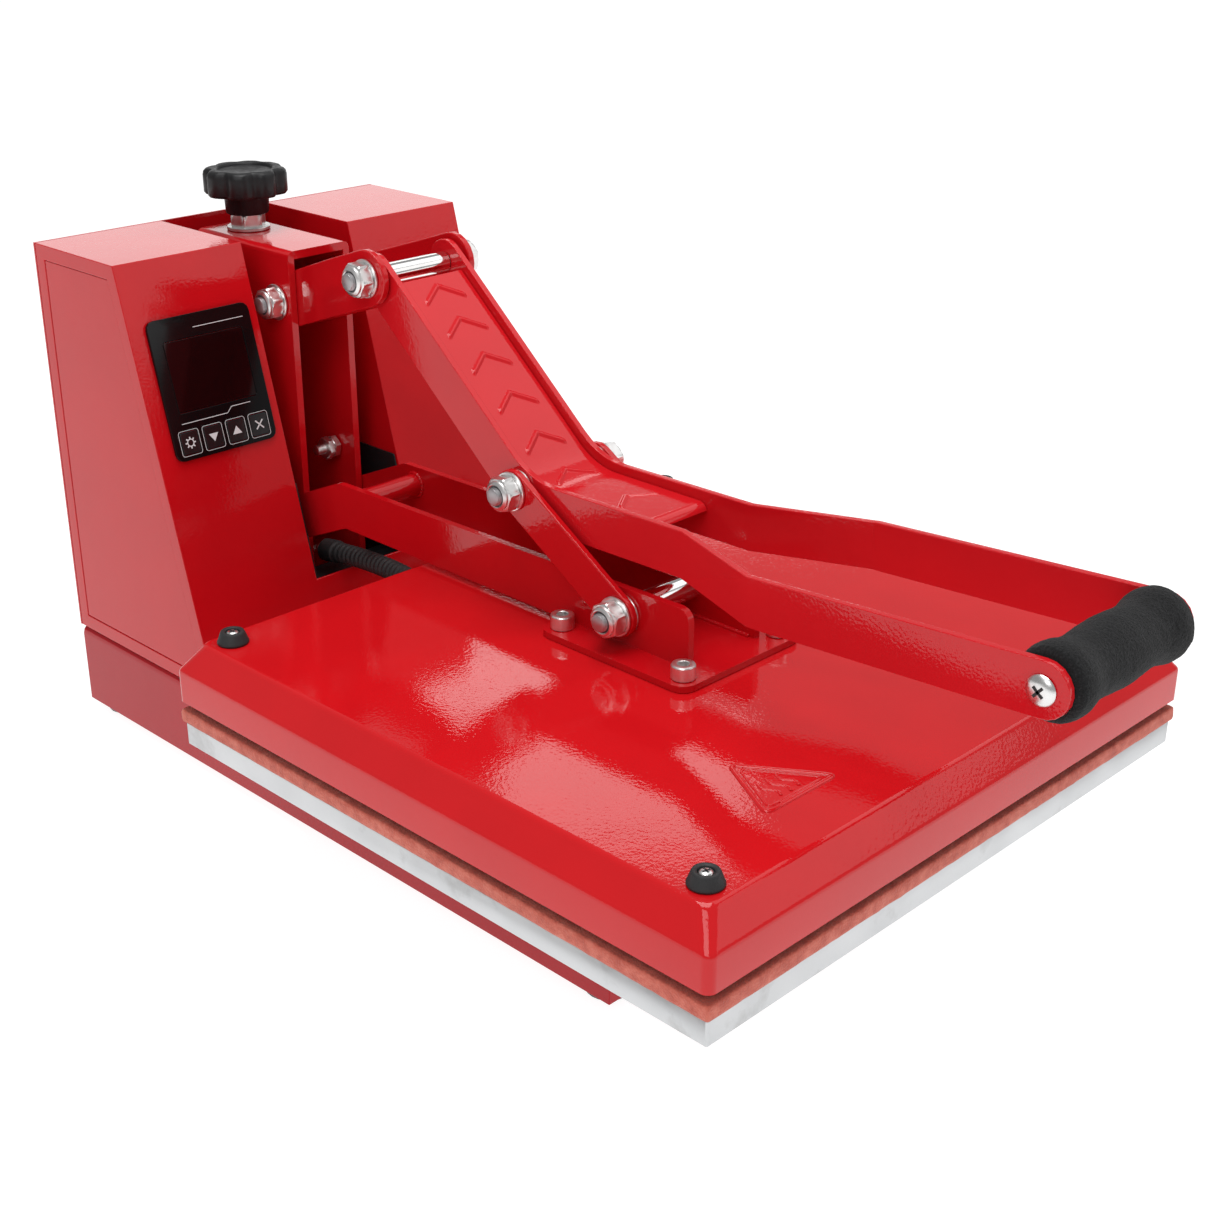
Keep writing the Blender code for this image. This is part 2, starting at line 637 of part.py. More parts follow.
def build_housing():
    """Two hollow towers joined below the sill, their side panels, and the rear cover."""
    x, inner = BASE_X, TOWER_IN
    shell = plate("x", -x, x, tower_profile())
    rooms = []
    for s in (-1, 1):
        lo, hi = sorted((s * (inner + SHEET), s * (x - SHEET)))
        rooms.append(plate("x", lo, hi, open_profile(SHEET)))
        lo, hi = sorted((s * (x - 3 * MM), s * (x + 1 * MM)))
        rooms.append(plate("x", lo, hi, tower_profile(FLANGE)))
    rooms.append(plate("x", -inner, inner, open_profile(SHEET)))
    rooms.append(box(-inner, inner, 150 * MM, 420 * MM, SILL_Z, TOWER_TOP + 5 * MM))
    place("housing_shell", cut(shell, rooms), RED)
    for name, s in (("side_panel_left", -1), ("side_panel_right", 1)):
        lo, hi = sorted((s * (x - 1.6 * MM), s * (x - 0.4 * MM)))
        place(name, plate("x", lo, hi, tower_profile(FLANGE + GAP)), RED)
    y = BASE_Y[1] + GAP
    outline = rect(-x, x, BASE_Z[1] + GAP, TOWER_TOP)
    vents = []
    for s in (-1, 1):
        for i in range(7):
            z = 190 * MM + i * 9 * MM
            vents.append(rounded(rect(*sorted((s * 52 * MM, s * 112 * MM)), z, z + 4 * MM), 1.9 * MM, 1))
    vents.append(rect(*INLET_X, *INLET_Z))
    vents.append(rect(*SWITCH_X, *SWITCH_Z))
    vents.append(circle(FUSE_AT, 6.3 * MM, 16))
    place("rear_cover", plate("y", y, y + SHEET, outline, vents), RED)


def bore(at, radius):
    return turned("x", at, [(-40 * MM, radius), (40 * MM, radius)], 16)


def build_post():
    """Folded post with foot flanges, the shaft of hinge A, and the stud that stops the lever."""
    (x0, x1), (y0, y1) = POST_X, POST_Y
    z0 = BASE_Z[1] + GAP
    flange = (38 * MM, z0 + 4.5 * MM)
    half = [(x0, z0), (flange[0], z0), flange, (x1, flange[1]), (x1, POST_TOP)]
    top = POST_TOP - 5 * MM
    outline = half + [(-a, b) for a, b in half[::-1]] + [(-x0, top), (x0, top)]
    radii = [0, 0, 0, 0, 4 * MM, 4 * MM, 0, 0, 0, 0, 0, 0]
    through = SCREW_R + GAP
    stud = turned("x", STUD_AT, [(10 * MM, 3.8 * MM), (40 * MM, 3.8 * MM)], 16)
    screw = [(POST_TOP - 8 * MM, through), (POST_TOP + 2 * MM, through)]
    holes = [bore(PIVOT_E, HOLE_R), bore(PIVOT_A, SHAFT_R + GAP), stud,
             turned("z", (0, SCREW_Y), screw, 24)]
    channel = plate("y", y0, y1, rounded(outline, radii, 3))
    place("post", cut(channel, holes), RED)
    limit = 38.6 * MM
    rings = []
    for depth, radius, *kind in through_bolt(((28.8 * MM, 30.4 * MM),)):
        if radius == BOLT_R:
            radius = SHAFT_R
        rings.append((max(-limit, min(limit, depth)), radius, *kind))
    place("hinge_shaft", turned("x", PIVOT_A, rings), ZINC, (0, *PIVOT_A), smooth=True)
    thin, wide = 3.5 * MM, 6.5 * MM
    inside = [(22.6 * MM, thin)]
    for outer, inner in ((17.6 * MM, 13.2 * MM), (12.6 * MM, 8.4 * MM)):
        inside += [(outer, thin), (outer, wide, "hex"), (inner, wide, "hex"), (inner, thin)]
    inside.append((2 * MM, thin))
    place("stop_stud", turned("x", STUD_AT, inside), ZINC, (0, *STUD_AT), smooth=True)


def bracket_outline():
    """Tip round D, widening over E, and a flat seat for the pressure screw at the back."""
    t = math.degrees(math.atan2(PIVOT_D[1] - PIVOT_E[1], PIVOT_D[0] - PIVOT_E[0]))
    tip = arc(PIVOT_D, 16 * MM, t - 90, t + 90, 10)
    seat = FOOT_Z - GAP
    rear = [(330 * MM, seat + 12 * MM), (350 * MM, seat), (388 * MM, seat)]
    return tip[::-1] + rear + [(388 * MM, 244 * MM), (330 * MM, 247 * MM)]


def build_bracket():
    """Short bracket that runs out of the post and flares round the lever at D."""
    outline = bracket_outline()
    holes = [circle(PIVOT_D, HOLE_R), circle(PIVOT_E, HOLE_R)]
    lines = (298 * MM, 244 * MM)
    flare = BRACKET_TIP_IN - BRACKET_ROOT_IN
    lo, hi = BRACKET_ROOT_IN, BRACKET_ROOT_IN + BRACKET_SHEET
    left = bend(plate("x", -hi, -lo, outline, holes), lines, -flare)
    right = bend(plate("x", lo, hi, outline, holes), lines, flare)
    seat = FOOT_Z - GAP
    bridge = box(-lo - 1 * MM, lo + 1 * MM, 352 * MM, 388 * MM, seat - 5 * MM, seat)
    place("short_bracket", union(left, [right, bridge]), RED, (0, *PIVOT_E))
    washer = (POST_X[1] + GAP, POST_X[1] + 1.8 * MM)
    bolt = turned("x", PIVOT_E, through_bolt((washer,)))
    place("bracket_bolt", bolt, ZINC, (0, *PIVOT_E), smooth=True)
    tip = BRACKET_TIP_IN + BRACKET_SHEET
    faces = ((PLATE_OUT + GAP, BRACKET_TIP_IN - GAP), (tip + GAP, tip + 1.8 * MM))
    bolt = turned("x", PIVOT_D, through_bolt(faces))
    place("lever_pivot_bolt", bolt, ZINC, (0, *PIVOT_D), smooth=True)


def build_adjuster():
    """Nut on the post, pressure screw with its thrust pad, and the knob."""
    at = (0, SCREW_Y)
    z = POST_TOP + GAP
    r_hole = SCREW_R + GAP
    washer = tube("z", at, z, z + 2 * MM, 13.5 * MM, r_hole)
    hexagon = arc(at, 11.2 * MM, 12, 372, 6)[:-1]
    nut = plate("z", z + 1.5 * MM, z + 9.6 * MM, hexagon, [circle(at, r_hole, 24)])
    place("post_nut", union(nut, [washer]), ZINC, (*at, z))
    hub = z + 10 * MM
    top = hub + 28 * MM
    rings = [(FOOT_Z + 6.3 * MM, SCREW_R), (hub + 18 * MM, SCREW_R)]
    place("pressure_screw", turned("z", at, rings), ZINC, (*at, hub), smooth=True)
    rings = [(FOOT_Z, 8 * MM), (FOOT_Z + 1 * MM, 9.5 * MM), (FOOT_Z + 6 * MM, 9.5 * MM)]
    pad = turned("z", at, rings, 20)
    place("thrust_pad", pad, ZINC, (*at, FOOT_Z), smooth=True)
    place("knob", knob_mesh(at, hub, top), PLASTIC, (*at, hub), smooth=True)


def lobed(r, depth, steps=40, count=8):
    """Radius round a knob with `count` grips between the lobes."""
    out = []
    for i in range(steps):
        a = 2 * math.pi * i / steps
        wave = 0.5 - 0.5 * math.cos(count * a)
        out.append((a, r - depth * wave ** 3))
    return out


def knob_mesh(at, hub, top):
    """Lobed knob with a blind hole for the screw and a dished top."""
    bm = bmesh.new()
    lobe = top - 16.5 * MM
    hole = SCREW_R + GAP
    levels = [(hub + 19 * MM, 0, 0), (hub + 19 * MM, hole, 0), (hub, hole, 0),
              (hub, 13.4 * MM, 0), (lobe - 1 * MM, 13.8 * MM, 0), (lobe, 15 * MM, 0),
              (lobe, 24.4 * MM, 3.2 * MM), (lobe + 1.5 * MM, KNOB_R, 3.6 * MM),
              (top - 3 * MM, KNOB_R, 3.6 * MM), (top - 0.8 * MM, 24.6 * MM, 3.2 * MM),
              (top, 22 * MM, 1.6 * MM), (top - 0.2 * MM, 17 * MM, 0),
              (top - 2.4 * MM, 14 * MM, 0), (top - 2.8 * MM, 0, 0)]
    loops = []
    for z, r, depth in levels:
        if r == 0:
            loops.append([bm.verts.new((*at, z))])
            continue
        loop = []
        for a, reach in lobed(r, depth):
            x, y = at[0] + reach * math.cos(a), at[1] + reach * math.sin(a)
            loop.append(bm.verts.new((x, y, z)))
        loops.append(loop)
    for low, high in zip(loops, loops[1:]):
        join(bm, low, high)
    return bm


def build_controls():
    """Slanted fascia with its display window and keys, and the electronics behind it."""
    x0, x1 = FASCIA_X
    v0, v1 = FASCIA_V
    outline = rounded(rect(x0, x1, v0, v1), 5 * MM)
    window = rounded(rect(*DISPLAY_X, *DISPLAY_V), 1.5 * MM, 2)
    kx, kv = KEY_HALF
    frames = [key_outline(x, kx, kv, 1.2 * MM) for x in KEY_X]
    place("fascia", slope_plate(GAP, 2.3 * MM, outline, [window, *frames]), GLOSS)
    (gx0, gx1), (gv0, gv1) = DISPLAY_X, DISPLAY_V
    glass = rounded(rect(gx0 + GAP, gx1 - GAP, gv0 + GAP, gv1 - GAP), 1.2 * MM, 2)
    place("display_window", slope_plate(GAP, 2.2 * MM, glass), WINDOW)
    for x, name in zip(KEY_X, ("key_menu", "key_down", "key_up", "key_clear")):
        cap = key_outline(x, kx - GAP, kv - GAP, 1 * MM)
        place(name, slope_plate(0.9 * MM, 2.6 * MM, cap), KEYCAP, (x, *slope(KEY_V)))
    board = rect(x0 + 6 * MM, x1 - 2 * MM, v0 + 6 * MM, v1 - 4 * MM)
    case = rect(x0 + 12 * MM, x1 - 8 * MM, v0 + 12 * MM, v1 - 10 * MM)
    case = slope_plate(-12.5 * MM, -SHEET - GAP, case)
    place("controller_board", union(slope_plate(-14 * MM, -12 * MM, board), [case]), BOARD)
    floor = BASE_Z[1] + 2 * GAP
    relay = box(-98 * MM, -62 * MM, 340 * MM, 362 * MM, floor, 130 * MM)
    fins = [box(-100 * MM, -60 * MM, y, y + 2 * MM, floor, 138 * MM)
            for y in (363 * MM, 368 * MM, 373 * MM, 378 * MM)]
    spine = box(-100 * MM, -60 * MM, 361 * MM, 379.5 * MM, 66 * MM, 69 * MM)
    place("relay_heat_sink", union(relay, [spine, *fins]), ALU)


def key_outline(x, half_x, half_v, radius):
    return rounded(rect(x - half_x, x + half_x, KEY_V - half_v, KEY_V + half_v), radius, 2)


def margin(xs, zs, dx, dz):
    """A rectangle grown by dx and dz on each side."""
    return rect(xs[0] - dx, xs[1] + dx, zs[0] - dz, zs[1] + dz)


def build_rear_fittings():
    y = BASE_Y[1] + GAP + SHEET
    body = plate("y", y - 22 * MM, y + 3 * MM, margin(INLET_X, INLET_Z, -GAP, -GAP))
    rim = rounded(margin(INLET_X, INLET_Z, 3 * MM, 3 * MM), 3 * MM)
    flange = plate("y", y + GAP, y + 3 * MM, rim)
    mouth = rounded(margin(INLET_X, INLET_Z, -3 * MM, -2.6 * MM), 2 * MM)
    socket = cut(union(body, [flange]), [plate("y", y - 15 * MM, y + 5 * MM, mouth)])
    pins = []
    for dx, dz in ((-7 * MM, -2.2 * MM), (0, 2.2 * MM), (7 * MM, -2.2 * MM)):
        px, pz = sum(INLET_X) / 2 + dx, sum(INLET_Z) / 2 + dz
        pin = rect(px - 1 * MM, px + 1 * MM, pz - 2 * MM, pz + 2 * MM)
        pins.append(plate("y", y - 16 * MM, y - 3 * MM, pin))
    place("power_inlet", union(socket, pins), PLASTIC)
    neck = plate("y", y - 14 * MM, y + 2 * MM, margin(SWITCH_X, SWITCH_Z, -GAP, -GAP))
    rim = rounded(margin(SWITCH_X, SWITCH_Z, 1.5 * MM, 1.5 * MM), 1.5 * MM, 2)
    collar = plate("y", y + GAP, y + 2 * MM, rim)
    pocket = plate("y", y - 10 * MM, y + 4 * MM, margin(SWITCH_X, SWITCH_Z, -2 * MM, -2 * MM))
    place("switch_bezel", cut(union(neck, [collar]), [pocket]), PLASTIC)
    axis_y, axis_z = y - 4 * MM, sum(SWITCH_Z) / 2
    reach = 9.6 * MM
    rocker = [(y - 1 * MM, axis_z - reach), (y + 4.4 * MM, axis_z - reach + 0.5 * MM),
              (y + 0.6 * MM, axis_z), (y + 0.4 * MM, axis_z + reach),
              (y - 2.5 * MM, axis_z + reach), (y - 8.6 * MM, axis_z + 2.5 * MM),
              (y - 8.6 * MM, axis_z - 2.5 * MM)]
    x0, x1 = SWITCH_X
    body = plate("x", x0 + 2.4 * MM, x1 - 2.4 * MM, rocker)
    place("power_rocker", body, PLASTIC, ((x0 + x1) / 2, axis_y, axis_z))
    cap = [(y - 20 * MM, 6 * MM), (y + GAP, 6 * MM), (y + GAP, 8 * MM),
           (y + 5 * MM, 8 * MM), (y + 7 * MM, 7 * MM)]
    place("fuse_holder", turned("y", FUSE_AT, cap, 20), PLASTIC, smooth=True)


def build_conduit():
    """Corrugated heater conduit from the back of the cover over the sill."""
    start = Vector((-14 * MM, 194.6 * MM, 114 * MM))
    mid = Vector((-14 * MM, 232 * MM, 121 * MM))
    end = Vector((-14 * MM, 292 * MM, 112 * MM))
    path = []
    last = 22
    for i in range(last + 1):
        t = i / last
        p = start * (1 - t) ** 2 + mid * 2 * t * (1 - t) + end * t * t
        ridge = 1.0 if i % 2 else 0.86
        if i < 4 or i > last - 4:
            ridge = 1.15
        path.append((p, ridge))
    place("heater_conduit", pipe(path, 6.5 * MM, 9), RUBBER, smooth=True)


build_base()
build_platens()
build_cover()
build_heat_plate()
build_carrier()
build_ears()
build_links()
build_lever()
build_grip()
build_housing()
build_post()
build_bracket()
build_adjuster()
build_controls()
build_rear_fittings()
build_conduit()
bpy.data.materials.remove(WORK)
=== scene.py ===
import json
import math

import bmesh
import bpy
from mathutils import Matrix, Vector, noise

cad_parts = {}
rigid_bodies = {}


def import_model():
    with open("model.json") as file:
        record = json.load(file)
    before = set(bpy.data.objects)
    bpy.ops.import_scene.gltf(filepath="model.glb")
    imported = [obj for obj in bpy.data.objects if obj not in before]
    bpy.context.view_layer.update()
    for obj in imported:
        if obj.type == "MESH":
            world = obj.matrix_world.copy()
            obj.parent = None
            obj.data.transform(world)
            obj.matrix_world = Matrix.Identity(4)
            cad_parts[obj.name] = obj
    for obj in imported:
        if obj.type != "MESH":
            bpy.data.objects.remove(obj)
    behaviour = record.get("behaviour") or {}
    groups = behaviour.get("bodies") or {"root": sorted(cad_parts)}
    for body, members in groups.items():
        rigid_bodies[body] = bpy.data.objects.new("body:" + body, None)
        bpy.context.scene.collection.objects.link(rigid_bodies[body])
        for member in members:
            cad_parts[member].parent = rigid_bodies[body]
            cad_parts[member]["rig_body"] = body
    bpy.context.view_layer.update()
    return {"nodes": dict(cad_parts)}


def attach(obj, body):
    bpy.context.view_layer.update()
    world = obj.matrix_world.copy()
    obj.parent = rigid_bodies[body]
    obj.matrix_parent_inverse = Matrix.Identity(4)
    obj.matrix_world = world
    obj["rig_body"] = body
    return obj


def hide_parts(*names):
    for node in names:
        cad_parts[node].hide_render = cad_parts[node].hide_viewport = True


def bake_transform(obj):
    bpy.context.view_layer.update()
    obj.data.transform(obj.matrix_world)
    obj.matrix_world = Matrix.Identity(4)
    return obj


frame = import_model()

# Shapes are drawn in millimetres about the middle of the platens; new() moves them to the frame.
MM = 0.001
ORIGIN_Y = 75.65
# Pivots as (y, z): platen hinge, ear bolt, link bolt, lever pivot, bracket bolt; then the grip.
A, B, C, D, E = (318, 128), (14, 159.5), (93.5, 208.5), (211.5, 304.8), (314, 271)
GRIP = (-247.5, 214)
SCREW_AT = (0, 371.5)
# Half the width across flats of the large nuts and heads, and the lean of the towers' front.
HALF_FLATS = 9.0
LEAN = 0.2661
SCREW_SPOTS = ((-37.5, 51.5), (37.5, 51.5), (-37.5, -36.5), (37.5, -36.5))
CORNERS = ("rear_left", "rear_right", "front_left", "front_right")
AXES = {"x": (0, 1, 2), "y": (1, 0, 2), "z": (2, 0, 1)}
# The photo's camera: turn and tilt in radians, focal length in picture widths.
CAMERA_TURN = 0.78985
CAMERA_TILT = 0.41653
FOCAL = 1820 / 1214


# ---------------------------------------------------------------- materials

class Mat:
    """A Principled material with a few procedural helpers."""

    def __init__(self, name, colour, rough, metal=0.0, **extra):
        self.mat = bpy.data.materials.new(name)
        self.mat.use_nodes = True
        self.tree = self.mat.node_tree
        self.shader = self.tree.nodes["Principled BSDF"]
        self.set("Base Color", (*colour, 1))
        self.set("Roughness", rough)
        self.set("Metallic", metal)
        for key, value in extra.items():
            self.set(key.replace("_", " "), value)
        self.coords = self.node("ShaderNodeTexCoord").outputs["Object"]
        self.height = None

    def set(self, key, value):
        self.shader.inputs[key].default_value = value

    def node(self, kind, **props):
        made = self.tree.nodes.new(kind)
        for key, value in props.items():
            setattr(made, key, value)
        return made

    def link(self, a, b):
        self.tree.links.new(a, b)

    def noise(self, scale, detail=3.0, rough=0.5, stretch=None):
        tex = self.node("ShaderNodeTexNoise")
        tex.inputs["Scale"].default_value = scale
        tex.inputs["Detail"].default_value = detail
        tex.inputs["Roughness"].default_value = rough
        source = self.coords
        if stretch:
            mapping = self.node("ShaderNodeMapping")
            mapping.inputs["Scale"].default_value = stretch
            self.link(source, mapping.inputs["Vector"])
            source = mapping.outputs["Vector"]
        self.link(source, tex.inputs["Vector"])
        return tex.outputs["Fac"]

    def cells(self, scale):
        tex = self.node("ShaderNodeTexVoronoi", feature="F1")
        tex.inputs["Scale"].default_value = scale
        self.link(self.coords, tex.inputs["Vector"])
        return tex.outputs["Distance"]

    def remap(self, value, lo, hi, out_lo, out_hi):
        made = self.node("ShaderNodeMapRange")
        for key, number in zip(("From Min", "From Max", "To Min", "To Max"), (lo, hi, out_lo, out_hi)):
            made.inputs[key].default_value = number
        self.link(value, made.inputs["Value"])
        return made.outputs["Result"]

    def ramp(self, value, stops):
        made = self.node("ShaderNodeValToRGB")
        made.color_ramp.elements[0].position = stops[0][0]
        made.color_ramp.elements[1].position = stops[-1][0]
        for pos, _ in stops[1:-1]:
            made.color_ramp.elements.new(pos)
        for element, (_, colour) in zip(made.color_ramp.elements, stops):
            element.color = (*colour, 1)
        self.link(value, made.inputs["Fac"])
        self.link(made.outputs["Color"], self.shader.inputs["Base Color"])

    def rough(self, value, lo, hi, out_lo, out_hi):
        self.link(self.remap(value, lo, hi, out_lo, out_hi), self.shader.inputs["Roughness"])

    def bump(self, value, strength, distance):
        made = self.node("ShaderNodeBump")
        made.inputs["Strength"].default_value = strength
        made.inputs["Distance"].default_value = distance
        self.link(value, made.inputs["Height"])
        if self.height:
            self.link(self.height, made.inputs["Normal"])
        self.height = made.outputs["Normal"]
        self.link(self.height, self.shader.inputs["Normal"])


def paint(name, peel=1.0, colour=(0.60, 0.0055, 0.010), shine=0.28, rough=0.07):
    """Gloss red powder coat with orange peel."""
    m = Mat(name, colour, 0.2, Coat_Weight=shine * 0.8, Coat_Roughness=0.03, Specular_IOR_Level=shine)
    dark = tuple(c * 0.95 for c in colour)
    m.ramp(m.noise(22, 4), [(0.35, dark), (0.65, colour)])
    m.rough(m.noise(9, 3), 0.35, 0.65, rough, rough * 1.5)
    m.bump(m.noise(620, 1.5, 0.4), 0.075 * peel, 0.0008)
    m.bump(m.noise(60, 1.0, 0.4), 0.018 * peel, 0.003)
    m.link(m.height, m.shader.inputs["Coat Normal"])
    return m.mat


PAINT = paint("paint")
PAINT_FLAT = paint("paint_cover", 0.8, (0.66, 0.008, 0.012), rough=0.03)
# Painted shade: the base has the same red paint as the rest, made darker and duller to stand in for the shade
# it sits in under the platen.
SHADED_BASE_PAINT = paint("shaded_base_paint", 1.0, (0.46, 0.0035, 0.011), 0.20)
PAINT_LEVER = paint("paint_lever", 0.9, (0.66, 0.010, 0.016))

m = Mat("aluminium", (0.80, 0.82, 0.83), 0.34, 0.78)
m.ramp(m.noise(30, 5, 0.6),
       [(0.27, (0.46, 0.46, 0.46)), (0.42, (0.64, 0.65, 0.66)), (0.75, (0.72, 0.73, 0.74))])
m.rough(m.noise(60, 4), 0.3, 0.7, 0.34, 0.55)
m.bump(m.noise(420, 3), 0.25, 0.0003)
ALU = m.mat

m = Mat("aluminium_dark", (0.55, 0.56, 0.57), 0.42, 0.9)
m.rough(m.noise(80, 4), 0.3, 0.7, 0.34, 0.52)
m.bump(m.noise(300, 3), 0.2, 0.0003)
ALU_DARK = m.mat

m = Mat("silicone_foam", (0.56, 0.075, 0.045), 0.8, Sheen_Weight=0.15)
m.ramp(m.noise(160, 6, 0.65),
       [(0.28, (0.50, 0.085, 0.055)), (0.5, (0.64, 0.135, 0.09)), (0.72, (0.76, 0.21, 0.15))])
m.bump(m.cells(900), 0.55, 0.0007)
m.bump(m.noise(330, 5, 0.7), 0.6, 0.0008)
PAD = m.mat


def plated(name, colour, rough, spread):
    """Metal plating with faint patches."""
    m = Mat(name, colour, rough, 1.0)
    low = tuple(c * 0.93 for c in colour)
    m.ramp(m.noise(60, 3), [(0.35, low), (0.62, colour)])
    m.rough(m.noise(260, 4), 0.3, 0.7, rough - spread, rough + spread)
    m.bump(m.noise(900, 2), 0.05, 0.0002)
    return m.mat


ZINC = plated("bright_zinc", (0.84, 0.83, 0.82), 0.34, 0.06)
STEEL = plated("screw_steel", (0.80, 0.80, 0.79), 0.28, 0.08)
CHROME = plated("chrome", (0.88, 0.87, 0.86), 0.08, 0.03)
THREAD = plated("bolt_end", (0.50, 0.49, 0.50), 0.48, 0.08)

m = Mat("rubber", (0.018, 0.018, 0.019), 0.62)
m.rough(m.noise(180, 4), 0.3, 0.7, 0.48, 0.74)
m.bump(m.noise(700, 3), 0.25, 0.0004)
RUBBER = m.mat

m = Mat("moulded_plastic", (0.008, 0.008, 0.009), 0.42, Specular_IOR_Level=0.35)
m.rough(m.noise(240, 4), 0.3, 0.7, 0.34, 0.54)
m.bump(m.noise(900, 2), 0.22, 0.0003)
m.bump(m.noise(40, 2), 0.08, 0.001)
PLASTIC = m.mat

m = Mat("grip_foam", (0.020, 0.020, 0.021), 0.9,
        Sheen_Weight=0.08, Sheen_Roughness=0.6, Specular_IOR_Level=0.2)
m.ramp(m.noise(1100, 4, 0.7),
       [(0.35, (0.003, 0.003, 0.003)), (0.55, (0.010, 0.010, 0.011)), (0.72, (0.030, 0.030, 0.032))])
m.bump(m.noise(1000, 4, 0.7), 0.9, 0.0008)
m.bump(m.cells(620), 0.35, 0.0006)
FOAM = m.mat

m = Mat("fascia_gloss", (0.004, 0.004, 0.0045), 0.09, Specular_IOR_Level=0.25)
m.rough(m.noise(14, 3), 0.35, 0.7, 0.07, 0.15)
GLOSS = m.mat

m = Mat("display_tint", (0.010, 0.002, 0.003), 0.06, Specular_IOR_Level=0.3)
m.ramp(m.noise(8, 1), [(0.3, (0.008, 0.0018, 0.0022)), (0.7, (0.014, 0.0028, 0.0034))])
WINDOW = m.mat

m = Mat("key_cap", (0.010, 0.010, 0.011), 0.16, Coat_Weight=0.3)
m.rough(m.noise(160, 2), 0.3, 0.7, 0.12, 0.22)
KEY = m.mat

m = Mat("print_white", (0.72, 0.72, 0.73), 0.4)
m.rough(m.noise(300, 2), 0.3, 0.7, 0.34, 0.46)
PRINT = m.mat

m = Mat("wool", (0.75, 0.73, 0.68), 0.95)
m.ramp(m.noise(240, 5, 0.7, (1, 1, 5)), [(0.3, (0.56, 0.54, 0.48)), (0.7, (0.82, 0.80, 0.75))])
m.bump(m.noise(400, 5, 0.7), 0.8, 0.001)
WOOL = m.mat

m = Mat("board", (0.02, 0.15, 0.05), 0.4)
m.ramp(m.noise(180, 2), [(0.48, (0.015, 0.11, 0.04)), (0.52, (0.03, 0.20, 0.08))])
BOARD = m.mat

m = Mat("nylon", (0.07, 0.075, 0.085), 0.5)
m.bump(m.noise(500, 2), 0.2, 0.0003)
NYLON = m.mat


# ---------------------------------------------------------------- mesh helpers

def new(name, bm, mat, body, replaces=(), angle=38, weighted=False):
    """Finish a bmesh drawn in millimetres as a piece of the model."""
    bmesh.ops.recalc_face_normals(bm, faces=bm.faces)
    for v in bm.verts:
        v.co = Vector((v.co.x, v.co.y - ORIGIN_Y, v.co.z)) * MM
    return piece(name, bm, mat, body, replaces, angle, weighted)


def piece(name, bm, mat, body, replaces, angle, weighted):
    """Make the object, shade it, and say what it rides and what it replaces."""
    mesh = bpy.data.meshes.new(name)
    bm.to_mesh(mesh)
    bm.free()
    mesh.materials.append(mat)
    mesh.shade_smooth()
    mesh.set_sharp_from_angle(angle=math.radians(angle))
    ob = bpy.data.objects.new(name, mesh)
    bpy.context.scene.collection.objects.link(ob)
    if weighted:
        mod = ob.modifiers.new("normals", "WEIGHTED_NORMAL")
        mod.keep_sharp = True
        mod.weight = 100
    if body:
        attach(ob, body)
    if replaces:
        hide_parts(*replaces)
    return ob


def refined(node, mat, width, segments=2):
    """A CAD node's own shape with its sharp edges rounded over."""
    source = frame["nodes"][node]
    bm = bmesh.new()
    bm.from_mesh(source.data)
    bmesh.ops.remove_doubles(bm, verts=bm.verts, dist=1e-5)
    bmesh.ops.dissolve_limit(bm, angle_limit=math.radians(0.6), verts=bm.verts, edges=bm.edges)
    sharp = [e for e in bm.edges if len(e.link_faces) == 2 and e.calc_face_angle(0) > math.radians(30)]
    bmesh.ops.bevel(bm, geom=sharp, offset=width * MM, segments=segments, profile=0.5,
                    affect="EDGES", clamp_overlap=True)
    return piece(node + "_shaped", bm, mat, source["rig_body"], (node,), 50, True)


def point(axis, depth, a, b):
    i, j, k = AXES[axis]
    p = [0.0, 0.0, 0.0]
    p[i], p[j], p[k] = depth, a, b
    return p


def around(centre, radius, angle):
    return centre[0] + radius * math.cos(angle), centre[1] + radius * math.sin(angle)


def join(bm, low, high):
    """Skin between two loops; a loop of one point makes a cap."""
    n = max(len(low), len(high))
    for i in range(n):
        j = (i + 1) % n
        if len(low) == 1:
            bm.faces.new((low[0], high[i], high[j]))
        elif len(high) == 1:
            bm.faces.new((low[i], low[j], high[0]))
        else:
            bm.faces.new((low[i], low[j], high[j], high[i]))


def solid(bm, loops):
    """Skin a run of loops and close its ends."""
    for low, high in zip(loops, loops[1:]):
        join(bm, low, high)
    for end in (loops[0], loops[-1]):
        if len(end) > 1:
            bm.faces.new(end)


def turned(axis, centre, rings, steps=48, bm=None, turn=0.0):
    """A round solid of (depth, radius) rings; a third value cuts the ring to a hexagon of that half width."""
    bm = bm or bmesh.new()
    loops = []
    for depth, radius, *flat in rings:
        if radius == 0:
            loops.append([bm.verts.new(point(axis, depth, *centre))])
            continue
        loop = []
        for i in range(steps):
            a = 2 * math.pi * i / steps
            r = radius
            if flat:
                side = (a + math.pi / 6) % (math.pi / 3) - math.pi / 6
                r = min(radius, flat[0] / math.cos(side))
            loop.append(bm.verts.new(point(axis, depth, *around(centre, r, a + turn))))
        loops.append(loop)
    solid(bm, loops)
    return bm


def painted_recess_shade(axis, centre, depth, top, radius, bm, turn):
    """Painted shade of a Phillips recess: a thin dark cross on the screw's head, standing in for the shade
    inside the recess.
    """
    for k in range(2):
        a = turn + k * math.pi / 2
        ca, sa = math.cos(a), math.sin(a)
        w = radius * 0.22
        corners = [(-radius, -w), (radius, -w), (radius, w), (-radius, w)]
        loops = []
        for z in (depth, top):
            shrink = 1.0 if z == top else 0.8
            loops.append([bm.verts.new(point(axis, z, centre[0] + (u * ca - v * sa) * shrink,
                                             centre[1] + (u * sa + v * ca) * shrink)) for u, v in corners])
        solid(bm, loops)
    return bm


def washer(bm, centre, lo, hi):
    lo, hi = sorted((lo, hi))
    r = 11.0
    c = min(0.35, (hi - lo) * 0.3)
    turned("x", centre, [(lo, r - c), (lo + c, r), (hi - c, r), (hi, r - c)], 56, bm)


